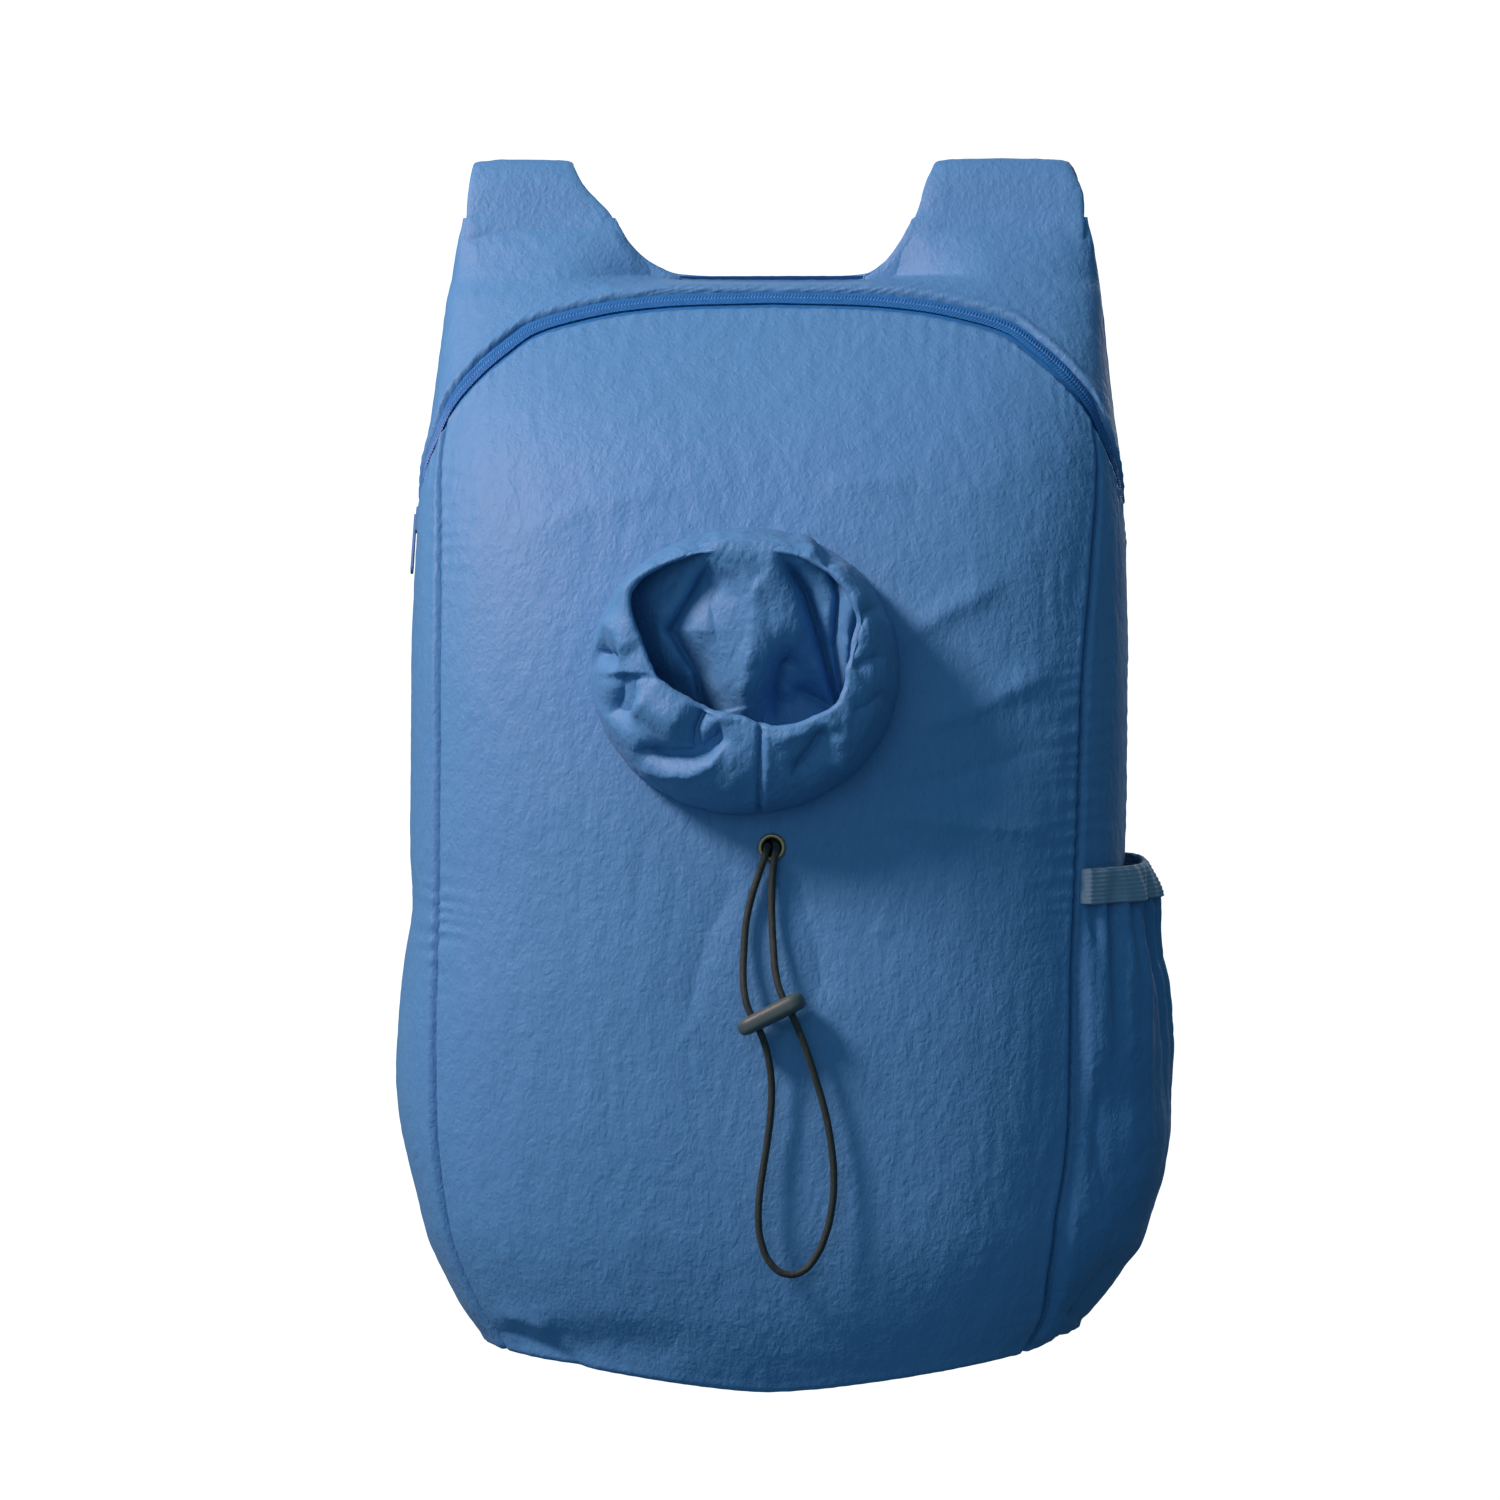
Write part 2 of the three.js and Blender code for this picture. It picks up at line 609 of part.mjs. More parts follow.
// A strip along the zip, between two distances from its line and at a depth under the skin.
function zipStrip(from, to, top, thick, across) {
  const place = (u, v) => {
    const end = backSeam(BAG_HEIGHT * ZIP_RUN.at(-1).height) - ZIP_END_SHORT;
    const turn = lerp(-end, end, u);
    return { turn, height: fromZip(turn, lerp(from, to, v)) };
  };
  const crown = (u, v) => -top - across * thick * (2 * v - 1) ** 2;
  return clothOn(place, even(FINE.zip), even(across ? 2 : 1), () => thick, crown);
}
const ZIP_END_SHORT = 1.2; // degrees short of the back seam
const TAPE_TOP = CLOTH + 1.1; // clear of the panels' facets
const TAPE_SPLIT = 0.3;
const COIL_TOP = TAPE_TOP - 0.5 - COIL_THICK;

// The slider, one plain piece parked near the zip's hidden end on the left side.
const SLIDER_TURN = -97;
function zipSlider() {
  const body = new THREE.Shape();
  const [half, long] = [COIL_WIDTH / 2 + 1.1, SLIDER_LENGTH / 2];
  body.moveTo(-half, -long);
  body.lineTo(half, -long);
  body.lineTo(half * 1.15, long * 0.4);
  body.quadraticCurveTo(half, long, 0, long);
  body.quadraticCurveTo(-half, long, -half * 1.15, long * 0.4);
  body.closePath();
  const plate = new THREE.ExtrudeGeometry(body, { depth: 1, bevelEnabled: false, curveSegments: 5 });
  const tab = new THREE.Shape();
  tab.absarc(0, -long - 14, 3, Math.PI, 2 * Math.PI);
  tab.lineTo(2.2, long * 0.3);
  tab.lineTo(-2.2, long * 0.3);
  tab.closePath();
  const pull = new THREE.ExtrudeGeometry(tab, { depth: 0.9, bevelEnabled: false, curveSegments: 8 });
  pull.translate(0, 0, 0.9);
  return fromSolid(toSolid(plate).add(toSolid(pull)));
}

// Stands a piece made with +Z outwards and +Y up on the skin, lifted clear of what is under it.
function standOn(mesh, turn, height, lift) {
  const normal = normalOf(skin, turn, height, PROBE);
  const up = slopes(skin, turn, height, PROBE)[1];
  up.addScaledVector(normal, -up.dot(normal)).normalize();
  const right = up.clone().cross(normal);
  mesh.quaternion.setFromRotationMatrix(new THREE.Matrix4().makeBasis(right, up, normal));
  mesh.position.copy(skin(turn, height).addScaledVector(normal, lift));
  return mesh;
}

const FOOT_GAP = 0.45; // clear of the panel's facets
// The collar: a gathered tube of doubled cloth. turn runs anticlockwise from the right,
// way from the foot (0) to the rim (1).
function collarFoot(turn, inset) {
  const x = COLLAR_ACROSS + (COLLAR_RADIUS_X - inset) * Math.cos(turn * RADIANS);
  const z = COLLAR_UP + (COLLAR_RADIUS_Z - inset) * Math.sin(turn * RADIANS);
  return overFront(x, z, FOOT_GAP);
}

function collarFace(turn, way) {
  const [cos, sin] = [Math.cos(turn * RADIANS), Math.sin(turn * RADIANS)];
  const foot = collarFoot(turn, 0);
  const middle = overFront(COLLAR_ACROSS, COLLAR_UP, 0);
  const round = ((turn % 360) + 360) % 360;
  const reach = along(RIM, "turn", round, "reach") * COLLAR_RADIUS_X;
  const forward = along(RIM, "turn", round, "forward") * COLLAR_REACH;
  const outward = vector(cos, 0, sin);
  const point = foot.clone();
  const rim = vector(COLLAR_ACROSS + reach * cos, middle.y - forward, COLLAR_UP + reach * sin);
  // The wall leaves the panel squarely and rolls over towards the rim.
  const shoulder = foot.clone().addScaledVector(outward, 0.5);
  shoulder.y = lerp(foot.y, rim.y, 0.92);
  point.lerp(shoulder, way).lerp(shoulder.clone().lerp(rim, way), way);
  let lift = 0;
  for (const f of COLLAR_FOLDS) {
    const away = ((round - f.turn + 540) % 360) - 180;
    const there = ease(f.from - 0.15, f.from + 0.2, way) * (1 - ease(f.to - 0.1, f.to + 0.25, way));
    lift += COLLAR_REACH * f.lift * bell(away, f.wide) * there;
  }
  const facing = vector(cos * (1 - way), -0.35 - way * 0.65, sin * (1 - way)).normalize();
  return point.addScaledVector(facing, lift);
}

function collar() {
  const turns = even(FINE.collarRound, 0, 360).slice(0, -1);
  const ways = even(FINE.collarUp);
  const outer = turns.map((turn) => ways.map((way) => collarFace(turn, way)));
  const inner = turns.map((turn) =>
    ways.map((way) => {
      if (way === 0) return collarFoot(turn, COLLAR_WALL);
      const du = collarFace(turn + 2, way).sub(collarFace(turn - 2, way));
      const dv = collarFace(turn, Math.min(way + 0.05, 1)).sub(collarFace(turn, Math.max(way - 0.05, 0)));
      const inward = dv.cross(du).normalize();
      return collarFace(turn, way).addScaledVector(inward, COLLAR_WALL);
    }),
  );
  return solidBetween(outer, inner, true);
}

// The pouch: the cloth that closes the collar from behind, pushed forward in folds.
function pouch() {
  const [radiusX, radiusZ] = [COLLAR_RADIUS_X - SEAT_GAP, COLLAR_RADIUS_Z - SEAT_GAP];
  const grid = even(FINE.pouch, -1, 1);
  const face = (behind) =>
    grid.map((u) =>
      grid.map((v) => {
        const x = u * Math.sqrt(1 - (v * v) / 2);
        const z = v * Math.sqrt(1 - (u * u) / 2);
        const reach = Math.min(Math.hypot(x, z), 1);
        const hollow = POUCH_DEPTH * (1 - ease(0.72, 1, reach));
        let out = 0;
        for (const f of POUCH_FOLDS) {
          out += f.out * bell(x - f.x, f.wide) * bell(z - f.z, f.tall);
        }
        const lift = -CLOTH - FOOT_GAP - hollow * (1 - out) - behind;
        return overFront(COLLAR_ACROSS + x * radiusX, COLLAR_UP + z * radiusZ, lift);
      }),
    );
  return solidBetween(face(0), face(CLOTH));
}

// The eyelet: a rolled metal ring through the panel, turned about the hole's axis.
function eyelet() {
  const [bore, barrel] = [EYELET_BORE, EYELET_BORE + EYELET_WALL];
  const [front, back] = [SEAT_GAP, -CLOTH - SEAT_GAP];
  const profile = [
    [bore, back - 0.6],
    [bore, front + 0.5],
    [bore + 0.5, front + 1.1],
    [EYELET_FLANGE - 0.6, front + 0.9],
    [EYELET_FLANGE, front],
    [barrel, front],
    [barrel, back],
    [EYELET_FLANGE - 0.6, back],
    [EYELET_FLANGE - 0.6, back - 0.6],
    [bore, back - 0.6],
  ].map(([r, h]) => new THREE.Vector2(r, h));
  const ring = new THREE.LatheGeometry(profile.reverse(), 16);
  ring.rotateX(Math.PI / 2);
  return ring;
}

const CORD_SIDES = 8;
function cordAlong(points, steps) {
  const corners = even(CORD_SIDES, 0, 2 * Math.PI).slice(0, -1).map((angle) =>
    new THREE.Vector2(CORD_RADIUS * Math.cos(angle), CORD_RADIUS * Math.sin(angle)),
  );
  const extrudePath = new THREE.CatmullRomCurve3(points, false, "centripetal");
  return new THREE.ExtrudeGeometry(new THREE.Shape(corners), { steps, bevelEnabled: false, extrudePath });
}

const drawcord = () => cordAlong(CORD_ROUTE.map((p) => vector(...p)), FINE.cord);

// The rest of the cord, hidden in the channel behind the panel round the collar's foot.
const RING_CLEAR = 2;
function hiddenCord() {
  const under = -CLOTH - FOOT_GAP - CORD_RADIUS - 0.3;
  const reach = CORD_RADIUS + RING_CLEAR;
  const [start, end] = [CORD_ROUTE[0], CORD_ROUTE.at(-1)];
  const bend = ([x, y, z], side) => [
    vector(x, y + SEAT_GAP, z),
    vector(x, y + SEAT_GAP + 1.4, z),
    vector(x + side * 1.2, y + SEAT_GAP + 2.6, z + 2),
  ];
  const points = bend(start, -1);
  for (const turn of even(FINE.ring, -97, -443)) {
    const x = COLLAR_ACROSS + (COLLAR_RADIUS_X + reach) * Math.cos(turn * RADIANS);
    const z = COLLAR_UP + (COLLAR_RADIUS_Z + reach) * Math.sin(turn * RADIANS);
    points.push(overFront(x, z, under));
  }
  points.push(...bend(end, 1).reverse());
  return cordAlong(points, FINE.hiddenCord);
}

// The cord lock: a bean of hard plastic with a hole for each strand.
function cordLock() {
  const { length, depth, height, edge, clearance } = CORD_LOCK;
  const apart = vector(...STRAND_UP).distanceTo(vector(...STRAND_DOWN));
  const shape = new THREE.Shape();
  const end = length / 2 - depth / 2;
  shape.absarc(end, 0, depth / 2, -Math.PI / 2, Math.PI / 2);
  shape.absarc(-end, 0, depth / 2, Math.PI / 2, (3 * Math.PI) / 2);
  shape.closePath();
  for (const side of [-1, 1]) {
    const hole = new THREE.Path();
    hole.absarc((side * apart) / 2, 0, CORD_RADIUS + clearance, 0, 2 * Math.PI, true);
    shape.holes.push(hole);
  }
  const bean = new THREE.ExtrudeGeometry(shape, {
    depth: height - 2 * edge,
    bevelThickness: edge,
    bevelSize: edge,
    bevelOffset: -edge,
    bevelSegments: 1,
    curveSegments: 6,
  });
  bean.translate(0, 0, -(height - 2 * edge) / 2);
  return bean;
}

// The side pocket, over the right side panel from seam to seam. v runs up to the band's top.
const POCKET_INSET = 1.6; // degrees from each seam
const POCKET_FOOT = 6; // above the side panel's lower edge
const pocketRim = (u) => POCKET_TOP + POCKET_BAND / 2 + 6 * u;
function pocketPlace(u, v) {
  let turn = lerp(frontSeam(POCKET_TOP), backSeam(POCKET_TOP), u);
  const foot = bottomEdge(turn) + POCKET_FOOT;
  const height = lerp(foot, pocketRim(u), v);
  turn = lerp(frontSeam(height) + POCKET_INSET, backSeam(height) - POCKET_INSET, u);
  return { turn, height };
}

function pocketLift(u, v) {
  const across = Math.sin(Math.PI * u) ** 0.8;
  const belly = Math.sin(Math.PI * clamp(v, 0, 1) ** 0.82) ** 0.7;
  const mouth = POCKET_MOUTH * across * v ** 6;
  let gathers = 0;
  for (const g of POCKET_GATHERS) gathers += POCKET_BULGE * g.lift * bell(u - g.at, g.wide);
  const low = CLOTH + SEAT_GAP;
  const loose = ease(0.35, 0.9, v) * (1 - ease(0.93, 1.0, v));
  return low + POCKET_BULGE * across * belly + mouth + gathers * loose;
}
const POCKET_MOUTH = 5.5;

function sidePocket() {
  const top = 1 - POCKET_BAND / (POCKET_TOP + POCKET_BAND / 2 - CORNER_RISE - 6);
  return clothOn(pocketPlace, even(FINE.pocketAcross), even(FINE.pocketUp, 0, top), () => CLOTH, pocketLift);
}

function pocketBand() {
  const top = 1 - POCKET_BAND / (POCKET_TOP + POCKET_BAND / 2 - CORNER_RISE - 6);
  const lift = (u, v) => pocketLift(u, v) + 0.2;
  const from = top + 0.002;
  return clothOn(pocketPlace, even(FINE.pocketAcross), even(3, from, 1), () => POCKET_BAND_THICK, lift);
}

// The path of a strap's middle from the shoulder seam over the fold and down to its end.
function strapPath() {
  const front = section(SHOULDER_SEAM).front + STRAP_THICK / 2;
  const centreHeight = SHOULDER_SEAM + FOLD_RISE;
  const path = new THREE.CurvePath();
  path.add(new THREE.LineCurve3(vector(0, front, SHOULDER_SEAM + SEAT_GAP), vector(0, front, centreHeight)));
  const quarter = 0.5523 * FOLD_RADIUS; // a circle's handle length
  const [y, z, r] = [front + FOLD_RADIUS, centreHeight, FOLD_RADIUS];
  path.add(new THREE.CubicBezierCurve3(
    vector(0, y - r, z), vector(0, y - r, z + quarter), vector(0, y - quarter, z + r), vector(0, y, z + r),
  ));
  path.add(new THREE.CubicBezierCurve3(
    vector(0, y, z + r), vector(0, y + quarter, z + r), vector(0, y + r, z + quarter), vector(0, y + r, z),
  ));
  const drop = z - STRAP_END;
  path.add(new THREE.CubicBezierCurve3(
    vector(0, y + r, z),
    vector(0, y + r + 4, z - drop * 0.2),
    vector(0, y + r + STRAP_BOW, z - drop * 0.66),
    vector(0, y + r + 12, STRAP_END),
  ));
  return path;
}

const STRAP_SECTION = 10; // sides of the padded strap's section
const FOLD_SHARE = 0.15; // of the path, from the shoulder seam to the far side of the fold
function shoulderStrap(side) {
  const path = strapPath();
  const shares = [...even(FINE.fold, 0, FOLD_SHARE), ...even(FINE.strap, FOLD_SHARE, 1).slice(1)];
  const rings = shares.map((share) => {
    const middle = path.getPointAt(share);
    const run = path.getTangentAt(share);
    const face = vector(0, run.z, -run.y);
    const span = section(SHOULDER_SEAM).width;
    const centre = side * span * along(STRAP_RUN, "along", share, "centre");
    const half = span * along(STRAP_RUN, "along", share, "half");
    const thick = (along(STRAP_RUN, "along", share, "thick") * STRAP_THICK) / 2;
    return even(STRAP_SECTION, 0, 2 * Math.PI).slice(0, -1).map((angle) => {
      const [c, s] = [Math.cos(angle), Math.sin(angle)];
      const x = centre + half * Math.sign(c) * Math.abs(c) ** 0.5;
      return vector(x, middle.y, middle.z).addScaledVector(face, thick * Math.sign(s) * Math.abs(s) ** 0.6);
    });
  });
  return loft(rings);
}

// A flat strip of webbing through places, each with its middle and the direction of its width.
function webbing(places) {
  const rings = places.map(({ middle, across }, i) => {
    const before = places[Math.max(i - 1, 0)].middle;
    const after = places[Math.min(i + 1, places.length - 1)].middle;
    const face = across.clone().cross(after.clone().sub(before)).normalize();
    return [[-1, -1], [1, -1], [1, 1], [-1, 1]].map(([side, out]) =>
      middle.clone()
        .addScaledVector(across, (side * WEB_WIDTH) / 2)
        .addScaledVector(face, (-out * WEB_THICK) / 2),
    );
  });
  return loft(rings);
}

// The adjuster hangs on the strap's end. down is the way from its top along the lower webbing,
// out its outer face.
const LOCK_LENGTH = 3 * LOCK_SLOT + 4 * LOCK_BAR;
const ANCHOR_TURN = 141; // degrees from the middle of the front
const ANCHOR_GAP = 1.2;
const ANCHOR_UP = 36;
const ANCHOR_LAP = 14;
const TAIL_LENGTH = 58;
function anchor(side, height) {
  const turn = side * ANCHOR_TURN;
  const normal = normalOf(skin, turn, height, PROBE);
  const middle = skin(turn, height).addScaledVector(normal, ANCHOR_GAP + WEB_THICK / 2);
  return { middle, across: vector(-normal.y, normal.x, 0).normalize().multiplyScalar(-1) };
}

function adjusterFrame(side) {
  const end = strapPath().getPointAt(1);
  const x = side * section(SHOULDER_SEAM).width * STRAP_RUN.at(-1).centre;
  const top = vector(x, end.y, end.z);
  const low = anchor(side, ANCHOR_UP + ANCHOR_LAP).middle;
  const down = low.sub(top).normalize();
  const across = vector(1, 0, 0).addScaledVector(down, -down.x).normalize();
  const out = across.clone().cross(down);
  const at = (s, n) => ({ middle: top.clone().addScaledVector(down, s).addScaledVector(out, n), across });
  return { at, down, across, out };
}

function ladderLock() {
  const plate = new THREE.Shape();
  const half = LOCK_WIDTH / 2;
  plate.moveTo(-half, 0);
  plate.lineTo(-half, -LOCK_LENGTH + 2);
  plate.lineTo(-half + 2, -LOCK_LENGTH);
  plate.lineTo(half - 2, -LOCK_LENGTH);
  plate.lineTo(half, -LOCK_LENGTH + 2);
  plate.lineTo(half, 0);
  plate.closePath();
  const slotHalf = WEB_WIDTH / 2 + LOCK_WEB_ROOM;
  for (const k of [0, 1, 2]) {
    const top = -LOCK_BAR - k * (LOCK_SLOT + LOCK_BAR);
    const slot = new THREE.Path();
    slot.moveTo(-slotHalf, top);
    slot.lineTo(slotHalf, top);
    slot.lineTo(slotHalf, top - LOCK_SLOT);
    slot.lineTo(-slotHalf, top - LOCK_SLOT);
    slot.closePath();
    plate.holes.push(slot);
  }
  const solid = new THREE.ExtrudeGeometry(plate, { depth: LOCK_THICK, bevelEnabled: false });
  solid.translate(0, 0, -LOCK_THICK / 2);
  return solid;
}

const LOCK_DROP = 2; // from the strap's end to the top of the adjuster
const webOff = LOCK_THICK / 2 + 0.5 + WEB_THICK / 2; // a strand's middle, clear of the plate

// A short loop that holds the adjuster's top bar to the strap's end.
function strapLoop(side) {
  const { at } = adjusterFrame(side);
  const turnPoint = LOCK_DROP + LOCK_BAR + LOCK_SLOT * 0.5;
  const leg = Math.max(webOff, (STRAP_RUN.at(-1).thick * STRAP_THICK) / 2 + SEAT_GAP + WEB_THICK / 2 + 0.3);
  const points = [
    [-9, -leg], [0, -leg], [turnPoint - 2.6, -leg + 0.1], [turnPoint - 0.7, -leg * 0.62],
    [turnPoint, 0],
    [turnPoint - 0.7, leg * 0.62], [turnPoint - 2.6, leg - 0.1], [0, leg], [-9, leg],
  ].map(([s, n]) => at(s, n));
  return webbing(points);
}

const WEB_TWIST = 6; // steps in which the lower webbing turns from the corner to the adjuster
// The lower webbing: sewn to the back panel's corner, up behind the adjuster, over its middle bar
// and down again to a loose tail.
function lowerWebbing(side) {
  const { at } = adjusterFrame(side);
  const slot = (k) => LOCK_DROP + LOCK_BAR + k * (LOCK_SLOT + LOCK_BAR) + LOCK_SLOT / 2;
  const [upper, lower] = [slot(1), slot(2)];
  const load = webOff + WEB_THICK + 0.5;
  const bottom = LOCK_DROP + LOCK_LENGTH;
  const sewn = anchor(side, ANCHOR_UP + ANCHOR_LAP);
  const free = at(bottom + 14, -load);
  const twist = even(WEB_TWIST).slice(1, -1).map((t) => ({
    middle: sewn.middle.clone().lerp(free.middle, t),
    across: sewn.across.clone().lerp(free.across, t).normalize(),
  }));
  const points = [
    anchor(side, ANCHOR_UP),
    sewn,
    ...twist,
    free,
    at(bottom, -load),
    at(lower, -load),
    at(upper + 2.6, -webOff - 0.3),
    at(upper + 0.6, -1.6),
    at(upper, 0),
    at(upper + 0.6, 1.8),
    at(upper + 2.6, webOff),
    at(lower - 2.6, webOff),
    at(lower - 0.6, 1.8),
    at(lower, 0),
    at(lower + 0.6, -1.6),
    at(lower + 2.8, -webOff),
    at(bottom + 2, -webOff),
    at(bottom + 18, -webOff + 2),
    at(bottom + TAIL_LENGTH, -webOff + 5),
  ];
  return webbing(points);
}

// Colours and finishes, as the eye sees them in soft light
const finish = (color, roughness, metalness = 0) =>
  new THREE.MeshStandardMaterial({ color, roughness, metalness });
const BLUE_CLOTH = finish(0x5b87bd, 0.78);
const POCKET_CLOTH = finish(0x35639c, 0.6);
const BAND_GREY = finish(0x7f9aac, 0.8);
const ZIP_BLUE = finish(0x1f66b0, 0.55);
const WEB_BLUE = finish(0x41699e, 0.7);
const EYELET_METAL = finish(0xa79a7c, 0.35, 0.9);
const DARK_CORD = finish(0x1d2b2c, 0.7);
const DARK_PLASTIC = finish(0x2f4547, 0.45);
const BLUE_PLASTIC = finish(0x1e3e66, 0.4);

function piece(name, geometry, material) {
  const mesh = new THREE.Mesh(geometry, material);
  mesh.name = name;
  return mesh;
}

const bag = new THREE.Group();
bag.add(piece("front_panel", frontPanel(), BLUE_CLOTH));
bag.add(piece("side_panel_left", sidePanel(-1), BLUE_CLOTH));
bag.add(piece("side_panel_right", sidePanel(1), BLUE_CLOTH));
bag.add(piece("back_panel", backPanel(), BLUE_CLOTH));
bag.add(piece("bottom_panel", bottomPanel(), BLUE_CLOTH));
bag.add(piece("yoke", yoke(), BLUE_CLOTH));
bag.add(piece("zip_tape_lower", zipStrip(-TAPE_WIDTH, -TAPE_SPLIT, TAPE_TOP, TAPE_THICK, 0), ZIP_BLUE));
bag.add(piece("zip_tape_upper", zipStrip(TAPE_SPLIT, TAPE_WIDTH, TAPE_TOP, TAPE_THICK, 0), ZIP_BLUE));
bag.add(piece("zip_coil", zipStrip(-COIL_WIDTH / 2, COIL_WIDTH / 2, COIL_TOP, COIL_THICK, 0.2), ZIP_BLUE));
const slider = piece("zip_slider", zipSlider(), ZIP_BLUE);
bag.add(standOn(slider, SLIDER_TURN, zipHeight(SLIDER_TURN), SEAT_GAP));
bag.add(piece("collar", collar(), BLUE_CLOTH));
bag.add(piece("pouch", pouch(), BLUE_CLOTH));
const eyeletTurn = turnAt(EYELET_ACROSS, EYELET_UP);
bag.add(standOn(piece("eyelet", eyelet(), EYELET_METAL), eyeletTurn, EYELET_UP, 0));
bag.add(piece("drawcord", drawcord(), DARK_CORD));
bag.add(piece("drawcord_hidden", hiddenCord(), DARK_CORD));
const lock = piece("cord_lock", cordLock(), DARK_PLASTIC);
const lockAxis = vector(...STRAND_UP).sub(vector(...STRAND_DOWN));
lock.position.copy(vector(...STRAND_DOWN)).addScaledVector(lockAxis, 0.5);
lock.rotation.set(0, -Math.atan2(lockAxis.z, lockAxis.x), 0);
bag.add(lock);
bag.add(piece("side_pocket", sidePocket(), POCKET_CLOTH));
bag.add(piece("pocket_band", pocketBand(), BAND_GREY));
for (const [name, side] of [["left", -1], ["right", 1]]) {
  bag.add(piece("shoulder_strap_" + name, shoulderStrap(side), BLUE_CLOTH));
  bag.add(piece("strap_loop_" + name, strapLoop(side), WEB_BLUE));
  bag.add(piece("webbing_" + name, lowerWebbing(side), WEB_BLUE));
  const { at, down, across, out } = adjusterFrame(side);
  const adjuster = piece("ladder_lock_" + name, ladderLock(), BLUE_PLASTIC);
  const turned = new THREE.Matrix4().makeBasis(across, down.clone().negate(), out.clone().negate());
  adjuster.quaternion.setFromRotationMatrix(turned);
  adjuster.position.copy(at(LOCK_DROP, 0).middle);
  bag.add(adjuster);
}

// The origin is the middle of the line under the two shoulder folds.
const fold = strapPath().getPointAt(0).add(vector(0, FOLD_RADIUS, FOLD_RISE + FOLD_RADIUS - STRAP_THICK / 2));
bag.position.set(0, -fold.y, -fold.z);

const backpack = new THREE.Group();
backpack.name = "packable_backpack";
backpack.add(bag);
export default backpack;
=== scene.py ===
# %% [markdown]
# A packable backpack in thin crinkled nylon, stuffed full and held up by its straps. The
# construction is packed already, so this lesson starts from that frame and dresses it: every
# piece of cloth is modelled again at cloth detail, in the place that its plain solid holds.

import math

import bpy
import numpy as np
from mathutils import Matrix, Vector


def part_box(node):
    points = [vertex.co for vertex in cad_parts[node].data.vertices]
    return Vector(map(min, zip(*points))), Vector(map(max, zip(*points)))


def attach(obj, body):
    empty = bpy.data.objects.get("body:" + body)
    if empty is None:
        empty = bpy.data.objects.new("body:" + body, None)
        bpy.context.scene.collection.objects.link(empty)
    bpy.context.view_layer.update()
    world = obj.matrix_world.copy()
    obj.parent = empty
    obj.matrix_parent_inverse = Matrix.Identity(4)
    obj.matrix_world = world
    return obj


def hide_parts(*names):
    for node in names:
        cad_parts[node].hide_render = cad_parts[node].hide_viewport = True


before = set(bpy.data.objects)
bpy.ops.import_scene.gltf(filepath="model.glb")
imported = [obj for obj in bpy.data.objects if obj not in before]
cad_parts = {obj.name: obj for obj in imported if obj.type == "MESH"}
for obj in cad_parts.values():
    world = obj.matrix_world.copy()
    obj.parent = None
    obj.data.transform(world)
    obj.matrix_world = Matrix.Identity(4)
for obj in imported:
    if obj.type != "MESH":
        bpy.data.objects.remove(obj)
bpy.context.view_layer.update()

# %% [markdown]
# The bag was laid out in millimetres from its lowest point, with X to the right and Y towards
# the wearer. The frame's own origin lies under the shoulder folds instead. The back panel gives
# the shift between the two: its top is the neckline and its furthest point is the wearer's side.

# %% The bag's own measures and the shift to the frame
BAG_HEIGHT = 437.0
BAG_WIDTH = 281.0
FRONT_DEPTH = 80.0
BACK_DEPTH = 50.0
FRONT_CORNER = 2.7
BACK_CORNER = 4.0
SHOULDER_SEAM = 460.0
EDGE_IN_FRONT, EDGE_BEHIND, EDGE_AT_SIDES = 1, 7, 19  # heights of the walls' lower edge
back_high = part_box("back_panel")[1]
SHIFT = np.array([0.0, back_high[1] * 1000 - BACK_DEPTH, back_high[2] * 1000 - BAG_HEIGHT])


def to_frame(points):
    """Millimetres from the bag's lowest point to metres in the frame."""
    return (np.asarray(points, float) + SHIFT) / 1000


print("shift", SHIFT.round(2), "mm")

# %% [markdown]
# The photograph is nearly frontal and level, and shows a little more of the bag's right side
# than of its left. A long lens from five metres keeps that flat look. The camera comes first.
# The cord's length was judged by what the camera sees.

# %% Camera
PHOTO_SIDE = 1500
MM_PER_PIXEL = 0.39
MIDDLE_PIXEL = (770, 1392)  # where the bag's middle line meets its lowest point
CAMERA_DISTANCE = 5000.0
CAMERA_TURN = math.radians(2.5)
SENSOR = 36.0

aim = np.array([
    (PHOTO_SIDE / 2 - MIDDLE_PIXEL[0]) * MM_PER_PIXEL,
    0.0,
    (MIDDLE_PIXEL[1] - PHOTO_SIDE / 2) * MM_PER_PIXEL,
])
away = np.array([math.sin(CAMERA_TURN), -math.cos(CAMERA_TURN), 0.0])
camera_data = bpy.data.cameras.new("camera")
camera_data.sensor_width = SENSOR
camera_data.lens = SENSOR * CAMERA_DISTANCE / (PHOTO_SIDE * MM_PER_PIXEL)
camera = bpy.data.objects.new("camera", camera_data)
camera.location = to_frame(aim + away * CAMERA_DISTANCE)
camera.rotation_euler = Vector(-away).to_track_quat("-Z", "Y").to_euler()
bpy.context.scene.collection.objects.link(camera)
bpy.context.scene.camera = camera
print("lens", round(camera_data.lens, 1), "mm")

# %% [markdown]
# The drawcord is one free loop: both strands leave the eyelet, pass through the lock and meet
# at the bottom. Its points repeat the route in the construction, in metres. A curve with a
# round bevel keeps the cord equally thick everywhere.

